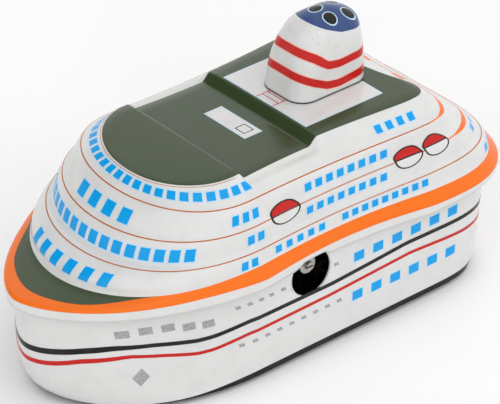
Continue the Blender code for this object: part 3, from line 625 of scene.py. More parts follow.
# The roof's half-width along the ship, as far as the quarter.
ROOF_OUTLINE = decks.grid[-1][:-STERN_STATIONS, :2]
RIM_ROW = SPLITS
BEAD_ROW = 3 * SPLITS
FOOT_ROW = 4 * SPLITS
LINE_C_ROW = FOOT_ROW + 3 * SPLITS
LINE_B_ROW = LINE_C_ROW + 4 * SPLITS
LINE_A_ROW = LINE_B_ROW + 4 * SPLITS
ROOF_ROW = decks.rows - 1
ROOF_COLUMNS = 14
KEY_NOTCH_X = (-2.4 * MM, -0.4 * MM, 7.4 * MM, 9.4 * MM)
KEY_NOTCH_RISE = 1.3 * MM


def make_superstructure(white, orange, green):
    """The pressed sheet: both halves of the surface, closed over by the roof."""
    rows, stations = decks.rows, decks.stations
    port = placed(decks.grid)
    starboard = placed(decks.grid, -1.0)
    # A shallow notch in the skirt's edge leaves the key-hole clear.
    rise = np.interp(port[:RIM_ROW, :, 0], KEY_NOTCH_X, (0.0, KEY_NOTCH_RISE, KEY_NOTCH_RISE, 0.0))
    port[:RIM_ROW, :, 2] += rise * (1 - np.arange(RIM_ROW) / RIM_ROW)[:, None]
    vertices, index = [], {}
    for row in range(rows):
        for station in range(stations):
            index[row, station, 1] = len(vertices)
            vertices.append(port[row, station])
            if 0 < station < stations - 1:
                index[row, station, -1] = len(vertices)
                vertices.append(starboard[row, station])
            else:
                index[row, station, -1] = index[row, station, 1]
    faces, paint = [], []
    for row in range(rows - 1):
        for station in range(stations - 1):
            colour = 1 if RIM_ROW <= row < FOOT_ROW else 0
            for side in (1, -1):
                ring = [index[row, station, side], index[row, station + 1, side]]
                ring += [index[row + 1, station + 1, side], index[row + 1, station, side]]
                faces.append(ring if side > 0 else ring[::-1])
                paint.append(colour)
    # The roof: strips across the ship, slightly crowned.
    top = rows - 1
    corner = stations - STERN_STATIONS
    strips = []
    for station in range(stations):
        x, y = decks.grid[top, station, :2]
        if station in (0, stations - 1):
            strips.append([index[top, station, 1]] * (ROOF_COLUMNS + 1))
            continue
        middle_x = x
        if station >= corner:
            share = (station - corner) / (stations - 1 - corner)
            middle_x = QUARTER_X + (decks.grid[top, -1, 0] - QUARTER_X) * share
        strip = []
        for column in range(ROOF_COLUMNS + 1):
            part = 1 - 2 * column / ROOF_COLUMNS
            if column == 0:
                strip.append(index[top, station, 1])
            elif column == ROOF_COLUMNS:
                strip.append(index[top, station, -1])
            else:
                strip.append(len(vertices))
                place_x = x + (middle_x - x) * (1 - part * part)
                vertices.append(placed((place_x, y * part, roof_point(place_x, y * part))))
        strips.append(strip)
    for strip, following in zip(strips, strips[1:]):
        for column in range(ROOF_COLUMNS):
            ring = [strip[column], following[column], following[column + 1], strip[column + 1]]
            ring = list(dict.fromkeys(ring))
            if len(ring) > 2:
                faces.append(ring)
                paint.append(2)
    shell = new_object("superstructure", vertices, faces, [white, orange, green], paint, 50)
    thicken(shell, SHEET)
    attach(shell, "ship")
    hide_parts("superstructure_shell")


# --- Windows and lines on the superstructure ------------------------------------------------------


WINDOW_STEPS = 6
HALO = 0.7 * MM


def window(ink, surface, row, arc, width, height, rise=0.0):
    """A printed window: a plate centred this far round the row from the bow tip."""
    lines = []
    for up in np.linspace(rise - height / 2, rise + height / 2, WINDOW_STEPS):
        along = np.linspace(arc - width / 2, arc + width / 2, WINDOW_STEPS)
        lines.append([surface.marked(row, place, up) for place in along])
    ink.plate(surface, lines)


def arc_at_x(surface, row, x):
    station = surface.station_at_x(row, x)
    return float(np.interp(station, np.arange(surface.stations), surface.row_values(row, surface.arc)))


def side_windows(ink, halo, surface, row, first_x, pitch, count, width, height, rise=0.0):
    """A row of windows down each side, from first_x aft."""
    for number in range(count):
        arc = arc_at_x(surface, row, first_x - number * pitch)
        for side in (1, -1):
            window(halo, surface, row, side * arc, width + HALO, height + HALO, rise)
            window(ink, surface, row, side * arc, width, height, rise)


def bow_windows(ink, halo, surface, row, pitch, count, width, height, shift=0.0, rise=0.0):
    """Windows round the bow, spaced evenly either side of a place this far to port of the tip."""
    for number in range(-count, count):
        arc = shift + (number + 0.5) * pitch
        window(halo, surface, row, arc, width + HALO, height + HALO, rise)
        window(ink, surface, row, arc, width, height, rise)


def stern_windows(ink, halo, surface, row, pitch, count, width, height):
    """Windows round the stern, spaced evenly either side of its middle."""
    whole = surface.row_values(row, surface.arc)[-1]
    for number in range(count):
        for side in (1, -1):
            arc = side * (whole - (number + 0.5) * pitch)
            window(halo, surface, row, arc, width + HALO, height + HALO)
            window(ink, surface, row, arc, width, height)


def line_round(ink, surface, row, half, first=0, last=None, rows=2):
    """A printed line round both sides of the ship. half gives half its width at a station."""
    last = surface.stations - 1 if last is None else last
    for side in (1.0, -1.0):
        lines = []
        for part in np.linspace(-1.0, 1.0, rows):
            line = []
            for station in range(first, last + 1):
                line.append((surface.row_beyond(row, station, part * half(station)), float(station), side))
            lines.append(line)
        ink.plate(surface, lines)


def lifeboat(inks, x, side, long, tall, up):
    """A boat seen end on: an ellipse across the deck line, red above and white below, with a black outline."""
    centre = arc_at_x(decks, LINE_B_ROW, x)
    stroke = 0.32 * MM

    def place(reach_along, reach_up):
        row, station, _ = decks.marked(LINE_B_ROW, centre + reach_along, up + reach_up)
        return row, station, side

    def fan(ink, low, high, inner, outer):
        rows = []
        for reach in np.linspace(inner, outer, 3 if inner > 0.5 else 6):
            turns = np.linspace(high, low, 17)
            rows.append([place(-long * reach * math.cos(t), tall * reach * math.sin(t)) for t in turns])
        ink.plate(decks, rows)

    fan(inks["boat_white"], -math.pi, 0.0, 0.02, 1.0)
    fan(inks["boat_red"], 0.0, math.pi, 0.02, 1.0)
    for low, high in ((0.0, math.pi), (-math.pi, 0.0)):
        fan(inks["boat_outline"], low, high, 1.0, 1.0 + stroke / tall)
    line = []
    for edge in (-stroke / 2, stroke / 2):
        line.append([place(along, edge) for along in np.linspace(-long, long, 9)])
    inks["boat_outline"].plate(decks, line)


def roof_patch(ink, x_high, x_low, y_low, y_high, columns=9, rows=9):
    """A rectangle printed on the roof."""
    points = []
    for x in np.linspace(x_low, x_high, rows):
        points.append([(x, y, roof_point(x, y)) for y in np.linspace(y_low, y_high, columns)])
    ink.flat(points)


def roof_frame(ink, x_high, x_low, y_low, y_high, stroke):
    """A rectangle's outline printed on the roof."""
    roof_patch(ink, x_high, x_high - stroke, y_low, y_high)
    roof_patch(ink, x_low + stroke, x_low, y_low, y_high)
    roof_patch(ink, x_high - stroke, x_low + stroke, y_low, y_low + stroke)
    roof_patch(ink, x_high - stroke, x_low + stroke, y_high - stroke, y_high)


def print_roof(inks):
    white, pale, black, red = inks["roof_white"], inks["roof_pale"], inks["roof_black"], inks["roof_red"]
    edge = 0.3 * MM
    for x_high, x_low, half in ((-8.5 * MM, -34.1 * MM, 16.0 * MM), (4.7 * MM, -0.6 * MM, 7.8 * MM)):
        roof_patch(pale, x_high + edge, x_low - edge, -half - edge, half + edge, 17)
        roof_patch(white, x_high, x_low, -half, half, 17)
    roof_frame(black, 3.6 * MM, 0.3 * MM, 2.5 * MM, 6.2 * MM, 0.25 * MM)
    for y in (-3.2 * MM, 3.2 * MM):
        roof_patch(red, -8.5 * MM, -15.0 * MM, y - 0.13 * MM, y + 0.13 * MM)
    for x in (-10.4 * MM, -12.2 * MM):
        roof_patch(red, x + 0.13 * MM, x - 0.13 * MM, -3.2 * MM, 3.2 * MM)


# The foredeck's green reaches full width ahead of the first place, and ends at the second.
CRESCENT = (58.0 * MM, 48.0 * MM)


def print_decks(inks):
    blue, halo, brown = inks["window_blue"], inks["window_halo"], inks["thin_lines"]
    t1 = LINE_C_ROW - 2 * SPLITS
    t2 = LINE_B_ROW - 2 * SPLITS
    t3 = LINE_A_ROW - 2 * SPLITS
    t4 = LINE_A_ROW + 2 * SPLITS
    bow_windows(blue, halo, decks, t1, 5.45 * MM, 3, 2.9 * MM, 3.8 * MM, 0.6 * MM, 1.2 * MM)
    bow_windows(blue, halo, decks, t2, 3.9 * MM, 8, 2.7 * MM, 3.4 * MM, 1.2 * MM, 0.1 * MM)
    bow_windows(blue, halo, decks, t3, 5.6 * MM, 2, 3.3 * MM, 3.9 * MM)
    bow_windows(blue, halo, decks, t4, 3.42 * MM, 11, 2.3 * MM, 2.4 * MM, 1.0 * MM, 0.5 * MM)
    stern_windows(blue, halo, decks, t1, 4.2 * MM, 8, 2.4 * MM, 2.2 * MM)
    stern_windows(blue, halo, decks, t2, 4.2 * MM, 7, 2.4 * MM, 2.2 * MM)
    side_windows(blue, halo, decks, t4, -24.9 * MM, 3.5 * MM, 4, 2.0 * MM, 2.3 * MM, 0.3 * MM)
    side_windows(blue, halo, decks, t3, 25.0 * MM, 3.05 * MM, 3, 1.9 * MM, 2.6 * MM)
    side_windows(blue, halo, decks, t3, 1.35 * MM, 3.53 * MM, 8, 2.2 * MM, 2.2 * MM, 0.25 * MM)
    side_windows(blue, halo, decks, t2, 22.0 * MM, 3.2 * MM, 2, 2.1 * MM, 2.4 * MM, 0.2 * MM)
    side_windows(blue, halo, decks, t2, 2.2 * MM, 3.46 * MM, 8, 2.1 * MM, 2.1 * MM, 0.6 * MM)
    side_windows(blue, halo, decks, t1, 25.5 * MM, 3.1 * MM, 2, 2.0 * MM, 2.2 * MM, 0.5 * MM)
    side_windows(blue, halo, decks, t1, 14.4 * MM, 3.68 * MM, 5, 2.0 * MM, 1.9 * MM, 1.0 * MM)
    side_windows(blue, halo, decks, t1, -8.1 * MM, 3.24 * MM, 9, 2.0 * MM, 1.9 * MM, 1.1 * MM)
    last = decks.stations - 1
    corner = last - STERN_STATIONS
    foot_x = decks.grid[FOOT_ROW, :, 0]

    def crescent_low(station):
        """The green foredeck narrows to a point beside the deckhouse."""
        part = smooth_step((CRESCENT[0] - foot_x[station]) / (CRESCENT[0] - CRESCENT[1]))
        return BEAD_ROW + 0.3 + (FOOT_ROW - BEAD_ROW - 0.4) * part

    def orange_low(station):
        """The orange edge laps a little over the rim, except at the bow."""
        return RIM_ROW - 0.7 * smooth_step((40 * MM - foot_x[station]) / (20 * MM))

    tips = int(np.argmax(foot_x < CRESCENT[1]))
    band(inks["foredeck_green"], decks, crescent_low, lambda s: FOOT_ROW, tips, rows=9)
    band(inks["rim_orange"], decks, orange_low, lambda s: RIM_ROW + 0.3, last)

    def stern_wide(station):
        """The lines open into narrow crescents at the stern's corners."""
        part = min(max((station - corner - 6) / 14, 0.0), 1.0)
        return (0.16 + 0.6 * math.sin(part * math.pi)) * MM

    line_round(brown, decks, LINE_C_ROW, lambda s: 0.16 * MM)
    line_round(brown, decks, LINE_B_ROW, lambda s: 0.16 * MM, last=corner + 3)
    line_round(brown, decks, LINE_A_ROW, lambda s: 0.16 * MM, last=corner + 3)
    line_round(inks["stern_orange"], decks, LINE_B_ROW, stern_wide, first=corner + 3, rows=7)
    line_round(inks["stern_orange"], decks, LINE_A_ROW, stern_wide, first=corner + 3, rows=7)
    line_round(brown, decks, ROOF_ROW - 0.8, lambda s: 0.07 * MM, last=BOW_STATIONS)
    stern_y = decks.grid[LINE_A_ROW, :, 1]
    for inner, outer in ((0.0, 3.0 * MM), (4.4 * MM, 9.5 * MM)):
        stations = [s for s in range(corner, last + 1) if inner <= stern_y[s] <= outer]
        for side in (1.0, -1.0):
            lines = [
                [(float(row), float(s), side) for s in stations]
                for row in np.linspace(LINE_A_ROW + 0.6, LINE_A_ROW + 3.6, 7)
            ]
            inks["stern_orange"].plate(decks, lines)
    for side in (1.0, -1.0):
        for x, long, tall, up in (
            (10.1 * MM, 4.4 * MM, 2.75 * MM, 0.0),
            (-30.5 * MM, 4.1 * MM, 2.7 * MM, 0.2 * MM),
            (-40.0 * MM, 3.9 * MM, 2.9 * MM, 0.6 * MM),
        ):
            lifeboat(inks, x, side, long, tall, up)


# --- Hull --------------------------------------------------------------------------------------


HULL_FOOT = PAN_LOW.z + 0.1 * MM


def hull_levels():
    """Outlines from the foot to the top: the stem rakes aft below the water line."""
    bow = HULL_HIGH.x
    levels = []
    for height, tip, along_power, across_power, stern in (
        (0.0, 5.6, 1.94, 1.73, 5.0),
        (1.0, 4.6, 1.9, 1.73, 4.4),
        (3.4, 2.7, 1.72, 1.75, 3.4),
        (6.6, 1.3, 1.58, 1.77, 2.5),
        (10.0, 0.5, 1.5, 1.78, 2.0),
        (16.0, 0.1, 1.45, 1.78, 1.2),
        (30.6, 0.0, 1.45, 1.78, 0.0),
    ):
        levels.append(
            Level(
                HULL_FOOT + height * MM,
                bow - tip * MM,
                32.0 * MM,
                along_power,
                across_power,
                32.0 * MM,
                32.0 * MM,
                HULL_LOW.x + stern * MM,
                stern_power=4.0,
            )
        )
    return levels


hull = Surface(smoothed_rows(level_grid(hull_levels(), 4), 1))
KEY_HOLE = Vector((ARBOR_X + 0.2 * MM, 0.0, ARBOR_Z - 1.6 * MM))
KEY_HOLE_RADIUS = 6.4 * MM


def make_hull(white, inside):
    vertices, faces, _ = ringed(hull)
    shell = new_object("hull", vertices, faces, [white, inside], smooth_angle=50)
    sheet = thicken(shell, SHEET)
    sheet.material_offset = 1
    bm = bmesh.new()
    bmesh.ops.create_cone(
        bm, cap_ends=True, segments=64, radius1=KEY_HOLE_RADIUS, radius2=KEY_HOLE_RADIUS, depth=16 * MM
    )
    mesh = bpy.data.meshes.new("key_hole_cutter")
    bm.to_mesh(mesh)
    bm.free()
    cutter = cut_out(shell, "key_hole_cutter", mesh)
    cutter.rotation_euler = (math.radians(90), 0, 0)
    cutter.location = (KEY_HOLE.x, 32 * MM, KEY_HOLE.z)
    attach(shell, "ship")
    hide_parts("hull_shell")


def hull_row(station, height):
    return hull.row_where(station, lambda points: points[:, 2] - height)


def hull_line(ink, places, half):
    """A line round the hull. places lists (x, height below the rim) from bow to stern."""
    xs = [x * MM for x, _ in places]
    heights = [RIM_Z + z * MM for _, z in places]

    def row(station, offset):
        x = hull.grid[-1, station, 0]
        return hull_row(station, float(np.interp(-x, [-p for p in xs], heights)) + offset)

    def half_at(station):
        return half * (1.0 + 0.45 * smooth_step((hull.grid[-1, station, 0] - 50 * MM) / (12 * MM)))

    last = hull.stations - 1
    band(ink, hull, lambda s: row(s, -half_at(s)), lambda s: row(s, half_at(s)), last)


BLACK_LINE = (
    (71, -15.4), (67.3, -14.5), (62.8, -13.6), (57.1, -13.1), (47.9, -13.6), (37.3, -15.0),
    (32.7, -15.0), (23.1, -13.7), (-4, -13.9), (-17, -13.2), (-29.4, -12.4), (-67, -13.2),
)
RED_LINE = (
    (71, -19.2), (69.1, -18.6), (63.7, -16.8), (53.7, -16.0), (45.5, -17.2), (37.4, -18.8),
    (32.8, -18.9), (23.1, -17.4), (-3.3, -17.1), (-17, -16.5), (-31, -15.9), (-51, -17.2), (-67, -17.5),
)


def hull_mark(ink, x, height, width, tall, side, skew=0.0):
    """A printed mark on the hull's side, centred at x and a height below the rim."""
    lines = []
    for up in (-0.5, 0.0, 0.5):
        line = []
        for along in np.linspace(0.5, -0.5, 4):
            place = x + along * width + up * skew
            middle = hull_row(hull.station_at_x(hull.rows - 1.0, place), RIM_Z + height)
            station = hull.station_at_x(middle, place)
            line.append((hull_row(station, RIM_Z + height + up * tall), station, side))
        lines.append(line)
    ink.plate(hull, lines)


def hull_diamond(ink, x, height, reach, side):
    """A printed diamond on the hull's side."""
    lines = []
    for first in np.linspace(-1.0, 1.0, 7):
        line = []
        for second in np.linspace(-1.0, 1.0, 7):
            along, up = (first + second) / 2 * reach * 0.75, (second - first) / 2 * reach
            middle = hull_row(hull.station_at_x(hull.rows - 1.0, x + along), RIM_Z + height)
            station = hull.station_at_x(middle, x + along)
            line.append((hull_row(station, RIM_Z + height + up), station, side))
        lines.append(line)
    ink.plate(hull, lines)


def print_hull(inks):
    for side in (1.0, -1.0):
        for number in range(6):
            lower = -(21.0 + 0.12 * number) * MM
            for height, first in ((-9.2 * MM, -13.0 * MM), (lower, -12.7 * MM)):
                x = first - number * 6.53 * MM
                hull_mark(inks["window_halo"], x, height, 4.2 * MM, 3.4 * MM, side)
                hull_mark(inks["window_blue"], x, height, 3.4 * MM, 2.7 * MM, side)
        for x, height in ((55.1, -9.3), (49.9, -9.0), (44.6, -9.2), (39.4, -10.2), (34.4, -10.8)):
            hull_mark(inks["grey_hatch"], x * MM, height * MM, 3.2 * MM, 2.2 * MM, side, 0.3 * MM)
        hull_diamond(inks["grey_hatch"], 51.2 * MM, -22.6 * MM, 2.7 * MM, side)
        for x in (26.4, 23.0, 19.5, 16.2, 12.4, -5.3):
            hull_mark(inks["grey_hatch"], x * MM, -8.6 * MM, 1.5 * MM, 1.0 * MM, side, 0.4 * MM)
        for number in range(9):
            x = (25.4 - 3.98 * number) * MM
            hull_mark(inks["grey_hatch"], x, -20.2 * MM, 1.6 * MM, 1.0 * MM, side, 0.4 * MM)

    def base_band_top(station):
        """The black foot band thins to a line towards the bow."""
        part = smooth_step((hull.grid[0, station, 0] - 20 * MM) / (24 * MM))
        return hull_row(station, HULL_FOOT + (1.65 - 1.3 * part) * MM)

    band(inks["base_band"], hull, lambda s: 0.0, base_band_top, hull.stations - 1)
    hull_line(inks["black_line"], BLACK_LINE, 0.58 * MM)
    hull_line(inks["red_line"], RED_LINE, 0.46 * MM)


# --- Funnel ------------------------------------------------------------------------------------

FUNNEL_HEIGHT = 20.3 * MM
FUNNEL_CENTRE_X = (FUNNEL_LOW.x + FUNNEL_HIGH.x) / 2 + 1.3 * MM
FUNNEL_HALF_LENGTH = 12.3 * MM
FUNNEL_HALF_WIDTH = 8.6 * MM
FUNNEL_CORNER = 5.2 * MM
# Up the funnel: (part of the height, size of the outline, how far its middle has moved aft).
FUNNEL_PROFILE = (
    (0.0, 1.0, 0.0),
    (0.2, 0.97, 0.2 * MM),
    (0.443, 0.93, 0.7 * MM),
    (0.69, 0.86, 1.7 * MM),
    (0.852, 0.757, 2.4 * MM),
    (0.906, 0.60, 2.7 * MM),
    (0.956, 0.40, 3.0 * MM),
    (0.985, 0.22, 3.4 * MM),
    (1.0, 0.05, 3.7 * MM),
)


def rounded_rectangle_half(half_length, half_width, corner, steps=14):
    """The port half of a rounded rectangle, from the front to the back, as (x, y)."""
    turn = np.linspace(0, math.pi / 2, steps)
    along, across = half_length - corner, half_width - corner
    front = [(half_length, y) for y in np.linspace(0, across, 5, endpoint=False)]
    front_corner = [(along + corner * math.cos(t), across + corner * math.sin(t)) for t in turn]
    side = [(x, half_width) for x in np.linspace(along, -along, 12)[1:-1]]
    back_corner = [(-x, y) for x, y in reversed(front_corner)]
    back = [(-x, y) for x, y in reversed(front)]
    return np.array(front + front_corner + side + back_corner + back)


def funnel_ring(part):
    """The port half of the funnel's outline at part of its height, from the front to the back."""
    heights, sizes, moves = np.array(FUNNEL_PROFILE).T
    size, move = np.interp(part, heights, sizes), np.interp(part, heights, moves)
    # Towards the top the outline turns into an ellipse.
    corner = FUNNEL_CORNER + (FUNNEL_HALF_WIDTH - 0.3 * MM - FUNNEL_CORNER) * smooth_step((part - 0.4) / 0.6)
    outline_points = rounded_rectangle_half(FUNNEL_HALF_LENGTH, FUNNEL_HALF_WIDTH, corner) * size
    x = outline_points[:, 0] + FUNNEL_CENTRE_X - move
    return np.stack([x, outline_points[:, 1], np.full(len(x), FUNNEL_LOW.z + FUNNEL_HEIGHT * part)], axis=1)


FUNNEL_PARTS = [1 - (1 - p) ** 1.5 for p in np.linspace(0, 1, 34)]
funnel = Surface(smoothed_rows(np.array([funnel_ring(part) for part in FUNNEL_PARTS]), 3))


def make_funnel(white):
    vertices, faces, top = ringed(funnel)
    faces.append(top)
    shell = new_object("funnel_shell", vertices, faces, [white], smooth_angle=70)
    thicken(shell, 0.4 * MM)
    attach(shell, "ship")
    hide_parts("funnel")
    return BVHTree.FromPolygons([Vector(v) for v in vertices], faces)


def band(ink, surface, low, high, last, rows=3):
    """A printed band round both sides. low and high give its lower and upper row at a station."""
    for side in (1.0, -1.0):
        lines = []
        for part in np.linspace(0.0, 1.0, rows):
            lines.append([(low(s) + (high(s) - low(s)) * part, float(s), side) for s in range(last + 1)])
        ink.plate(surface, lines)


def funnel_stripe_height(station, front, middle, back):
    """A stripe dips from the front to the side, and rises a little towards the back."""
    x = funnel.grid[0, station, 0] - FUNNEL_CENTRE_X
    places = (-FUNNEL_HALF_LENGTH, -6 * MM, -1 * MM, 3 * MM, 9 * MM, FUNNEL_HALF_LENGTH)
    heights = (back, middle + (back - middle) * 0.4, middle, middle + 0.6 * MM, front - 1.4 * MM, front)
    return float(np.interp(x, places, heights))


def funnel_stripe(ink, heights, half):
    """A stripe round the funnel, with its heights above the rim in front of it, beside it and behind it."""

    def row(station, offset):
        height = RIM_Z + funnel_stripe_height(station, *heights) + offset
        return funnel.row_where(station, lambda points: points[:, 2] - height)

    band(ink, funnel, lambda s: row(s, -half), lambda s: row(s, half), funnel.stations - 1, rows=5)


def cast_disc(ink, tree, x, y, radius):
    """A printed disc on the funnel's domed top."""
    above = FUNNEL_HIGH.z + 5 * MM
    rows = []
    turns = np.linspace(0, 2 * math.pi, 29)
    for reach in np.linspace(0.02, 1.0, 5):
        wide = radius * reach
        rows.append([(x + wide * math.cos(t), y + wide * math.sin(t), above) for t in turns])
    ink.cast(tree, rows)


FUNNEL_STRIPES = ((36.8 * MM, 31.6 * MM, 32.2 * MM), (30.9 * MM, 26.2 * MM, 27.2 * MM))
# The height of the blue cap's edge above the rim: behind the funnel, beside it and in front of it.
CAP_EDGE = (38.4 * MM, 39.6 * MM, 45.9 * MM)
# The four vents printed on the funnel's top.
VENTS = ((-26.5 * MM, -1.3 * MM), (-26.9 * MM, 3.8 * MM), (-32.4 * MM, -1.8 * MM), (-32.9 * MM, 3.9 * MM))


def print_funnel(inks, tree):
    last = funnel.stations - 1
    for heights in FUNNEL_STRIPES:
        funnel_stripe(inks["pink_edges"], heights, 1.35 * MM)
        funnel_stripe(inks["funnel_red"], heights, 1.05 * MM)

    def cap_row(station, offset):
        def rise(points):
            edge = np.interp(points[:, 0] - FUNNEL_CENTRE_X, (-12 * MM, -3 * MM, 12 * MM), CAP_EDGE)
            return points[:, 2] - offset - RIM_Z - edge

        return funnel.row_where(station, rise)

    top = funnel.rows - 1.0
    seam_top = funnel.row_beyond(0.0, 0.0, 0.3 * MM)
    # Painted shadow: a thin dark band round the funnel's foot stands in for the shade where the funnel meets the
    # roof.
    band(inks["funnel_foot_shadow"], funnel, lambda s: 0.0, lambda s: seam_top, last)
    band(inks["funnel_cap"], funnel, lambda s: cap_row(s, 0.0), lambda s: top - 0.01, last, rows=16)
    cast_disc(inks["funnel_cap"], tree, FUNNEL_CENTRE_X - 3.7 * MM, 0.0, 1.6 * MM)
    for x, y in VENTS:
        cast_disc(inks["vent_rings"], tree, x, y, 2.0 * MM)
        cast_disc(inks["vent_discs"], tree, x, y, 1.7 * MM)


# --- Base pan and clockwork ---------------------------------------------------------------------


RIVETS = [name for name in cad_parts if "rivet" in name]
# The pan is cut away this far ahead of and behind each wheel's axle, and this far round each rivet.
WHEEL_REACH = 6.3 * MM
RIVET_CLEAR = 1.1 * MM


def make_pan(black):
    """The base pan fills the hull's foot, and is open under the wheels and round the rivets."""
    inset = 0.55 * MM
    foot = hull.grid[0]
    inward = np.stack([foot[:, 0] * (1 - inset / (60 * MM)), foot[:, 1] * (1 - inset / (32 * MM))], axis=1)
    port, starboard = placed(inward), placed(inward[-2:0:-1], -1.0)
    ring = [tuple(place) for place in (*port, *starboard)]
    count = len(ring)
    vertices = []
    walls = ((PAN_LOW.z + 0.45 * MM, 1), (PAN_HIGH.z, 1), (PAN_HIGH.z, 0), (PAN_LOW.z, 0))
    for height, inner in walls:
        shrink = 1 - inner * 0.45 * MM / (32 * MM)
        vertices += [(x * shrink, y * shrink, height) for x, y in ring]
    faces = joined(len(walls), count)
    half = count // 2
    for row in (0, 3):
        for place in range(half):
            quad = [place, place + 1, (count - place - 1) % count, (count - place) % count]
            quad = [row * count + q for q in dict.fromkeys(quad)]
            if len(quad) > 2:
                faces.append(quad if row else quad[::-1])
    pan = new_object("pan", vertices, faces, [black], smooth_angle=40)
    face_outward(pan.data)
    cutters = bpy.data.meshes.new("pan_openings")
    bm = bmesh.new()
    for axle in ("drive", "front"):
        for side in ("port", "starboard"):
            low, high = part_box(f"{axle}_tyre_{side}")
            middle = (low.x + high.x) / 2
            box_low = Vector((middle - WHEEL_REACH, low.y - 1 * MM, 0.0))
            box_high = Vector((middle + WHEEL_REACH, high.y + 1 * MM, 3 * MM))
            made = bmesh.ops.create_cube(bm, size=1.0)["verts"]
            bmesh.ops.scale(bm, vec=box_high - box_low, verts=made)
            bmesh.ops.translate(bm, vec=(box_high + box_low) / 2, verts=made)
    for name in RIVETS:
        low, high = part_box(name)
        made = bmesh.ops.create_cone(
            bm, cap_ends=True, segments=24, radius1=RIVET_CLEAR, radius2=RIVET_CLEAR, depth=4 * MM
        )
        bmesh.ops.translate(bm, vec=((low.x + high.x) / 2, (low.y + high.y) / 2, 2 * MM), verts=made["verts"])
    bm.to_mesh(cutters)
    bm.free()
    cut_out(pan, "pan_openings", cutters)
    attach(pan, "ship")
    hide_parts("base_pan")


def finish_clockwork():
    """Finishes for the CAD parts that show through the key-hole and from below."""
    tin = metal("tinned_plate_finish", srgb(170, 168, 160), 0.32, (0.4, 0.4, 3.0))
    steel = metal("bright_steel_finish", srgb(188, 186, 180), 0.28, (0.5, 3.0, 0.5))
    brass = metal("brass_finish", srgb(196, 158, 84), 0.3, (2.0, 0.5, 2.0))
    blued = metal("blued_spring_finish", srgb(66, 70, 88), 0.3, (0.4, 2.0, 0.4))
    tyre = rubber("rubber_finish")
    groups = (
        (tin, ("motor_plate", "front_axle_bracket", "wheel_port", "wheel_starboard")),
        (tyre, ("tyre",)),
        (brass, ("main_gear", "intermediate_gear", "drive_pinion")),
        (blued, ("mainspring", "click_spring")),
        (steel, ("arbor", "pillar", "ratchet", "click_pin", "intermediate_pinion", "axle", "rivet", "click")),
    )
    for name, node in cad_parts.items():
        for finish, keys in groups:
            if any(key in name for key in keys):
                node.data.materials.clear()
                node.data.materials.append(finish)
                break


# --- Stage -------------------------------------------------------------------------------------


# The camera's place in metres, the lens in millimetres, and the way it looks from, in degrees.
CAMERA_PLACE = Vector((0.44674, 0.53519, 0.47263))
CAMERA_LENS = 230.6
CAMERA_AZIMUTH = 139.92
CAMERA_ELEVATION = 32.44
# The sloping face between the two roofs mirrors this direction, which is dark.
DARK_CARD = (0.362, -0.646, 0.672)
WORLD_STRENGTH = 1.2


def make_stage():
    bm = bmesh.new()
    bmesh.ops.create_grid(bm, x_segments=1, y_segments=1, size=4.0)
    mesh = bpy.data.meshes.new("floor")
    bm.to_mesh(mesh)
    bm.free()
    floor = bpy.data.objects.new("floor", mesh)
    bpy.context.scene.collection.objects.link(floor)
    nodes = Nodes("floor_paper")
    tone = nodes.ramp(nodes.noise(0.01, 2.0), 0.3, 0.7)
    nodes.put(nodes.shader.inputs["Base Color"], nodes.mix(tone, srgb(250, 250, 250), srgb(246, 246, 246)))
    nodes.shader.inputs["Roughness"].default_value = 0.9
    nodes.shader.inputs["Specular IOR Level"].default_value = 0.1
    mesh.materials.append(nodes.material)


def area_light(name, place, target, size, power):
    light = bpy.data.lights.new(name, "AREA")
    light.shape = "DISK"
    light.size = size
    light.energy = power
    obj = bpy.data.objects.new(name, light)
    obj.location = place
    obj.rotation_euler = (Vector(target) - Vector(place)).to_track_quat("-Z", "Y").to_euler()
    bpy.context.scene.collection.objects.link(obj)


def make_lights():
    world = bpy.data.worlds.new("studio")
    world.use_nodes = True
    background = world.node_tree.nodes["Background"]
    background.inputs["Strength"].default_value = WORLD_STRENGTH
    tree = world.node_tree
    direction = tree.nodes.new("ShaderNodeTexCoord")
    toward = tree.nodes.new("ShaderNodeVectorMath")
    toward.operation = "DOT_PRODUCT"
    toward.inputs[1].default_value = DARK_CARD
    tree.links.new(direction.outputs["Generated"], toward.inputs[0])
    card = tree.nodes.new("ShaderNodeMapRange")
    card.inputs["From Min"].default_value = 0.8
    card.inputs["From Max"].default_value = 0.92
    card.inputs["To Min"].default_value = 1.0
    card.inputs["To Max"].default_value = 0.12
    tree.links.new(toward.outputs["Value"], card.inputs["Value"])
    tree.links.new(card.outputs[0], background.inputs["Color"])
    bpy.context.scene.world = world
    centre = (0.0, 0.0, 0.04)
    area_light("key", (0.25, 0.55, 0.75), centre, 0.5, 0.35)
    bpy.context.scene.view_settings.view_transform = "Standard"


def make_camera():
    camera = bpy.data.cameras.new("camera")
    camera.sensor_width = 36.0
    camera.lens = CAMERA_LENS
    camera.clip_start = 0.01
    camera.clip_end = 20.0
    obj = bpy.data.objects.new("camera", camera)
    azimuth, elevation = math.radians(CAMERA_AZIMUTH), math.radians(CAMERA_ELEVATION)
    back = Vector(
        (math.sin(azimuth) * math.cos(elevation), -math.cos(azimuth) * math.cos(elevation), math.sin(elevation))
    )
    obj.location = CAMERA_PLACE
    obj.rotation_euler = back.to_track_quat("Z", "Y").to_euler()
    bpy.context.scene.collection.objects.link(obj)
    bpy.context.scene.camera = obj


# --- Build -------------------------------------------------------------------------------------


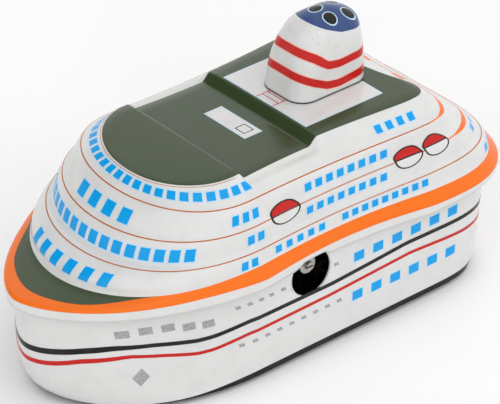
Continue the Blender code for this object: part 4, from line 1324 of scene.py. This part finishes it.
def main():
    white = enamel("white_enamel", WHITE).material
    orange = enamel("orange_enamel", ORANGE, tint=srgb(206, 84, 12), shine=0.25).material
    green = enamel("green_enamel", GREEN, tint=srgb(60, 76, 44), shine=0.42).material
    black = enamel("black_gloss", BLACK, 0.3, 0.16).material
    inside = metal("tin_inside", srgb(60, 58, 56), 0.5)
    make_superstructure(white, orange, green)
    make_hull(white, inside)
    tree = make_funnel(enamel("funnel_enamel", WHITE, 1.6).material)
    make_pan(black)
    finish_clockwork()
    blue = enamel("blue_ink", BLUE, tint=PALE_BLUE, shine=0.2).material
    halo = enamel("halo_ink", HALO_BLUE).material
    white_ink = enamel("white_ink", WHITE).material
    black_ink = enamel("black_ink", BLACK, 0.3, shine=0.2).material
    red = enamel("red_ink", RED, tint=srgb(160, 30, 30), shine=0.2).material
    brown = enamel("brown_ink", LINE_BROWN, shine=0.2).material
    # A dark metal for the painted shadow round the funnel's foot, where it meets the roof.
    painted_seam_shadow = metal("seam_shadow", srgb(70, 68, 66), 0.5)
    deck, side, stack = "litho_decks", "litho_hull", "litho_funnel"
    rows = (
        ("window_halo", halo, deck, 1),
        ("window_blue", blue, deck, 2),
        ("thin_lines", brown, deck, 1),
        ("foredeck_green", green, deck, 1),
        ("rim_orange", orange, deck, 1),
        ("stern_orange", orange, deck, 1),
        ("boat_white", white_ink, deck, 3),
        ("boat_red", red, deck, 3),
        ("boat_outline", black_ink, deck, 4),
        ("roof_pale", halo, deck, 1),
        ("roof_white", white_ink, deck, 2),
        ("roof_black", black_ink, deck, 3),
        ("roof_red", red, deck, 3),
        ("black_line", black_ink, side, 2),
        ("red_line", red, side, 2),
        ("base_band", black_ink, side, 1),
        ("grey_hatch", hatch("hatch_ink"), side, 1),
        ("pink_edges", enamel("pink_ink", PINK).material, stack, 1),
        ("funnel_red", red, stack, 2),
        ("funnel_foot_shadow", painted_seam_shadow, stack, 1),
        ("funnel_cap", enamel("cap_ink", FUNNEL_BLUE).material, stack, 1),
        ("vent_rings", halo, stack, 3),
        ("vent_discs", black_ink, stack, 4),
    )
    inks = {name: Print(name, material, slot, layer) for name, material, slot, layer in rows}
    print_decks(inks)
    print_roof(inks)
    print_hull(inks)
    print_funnel(inks, tree)
    for ink in inks.values():
        ink.done()
    make_stage()
    make_lights()
    make_camera()


main()
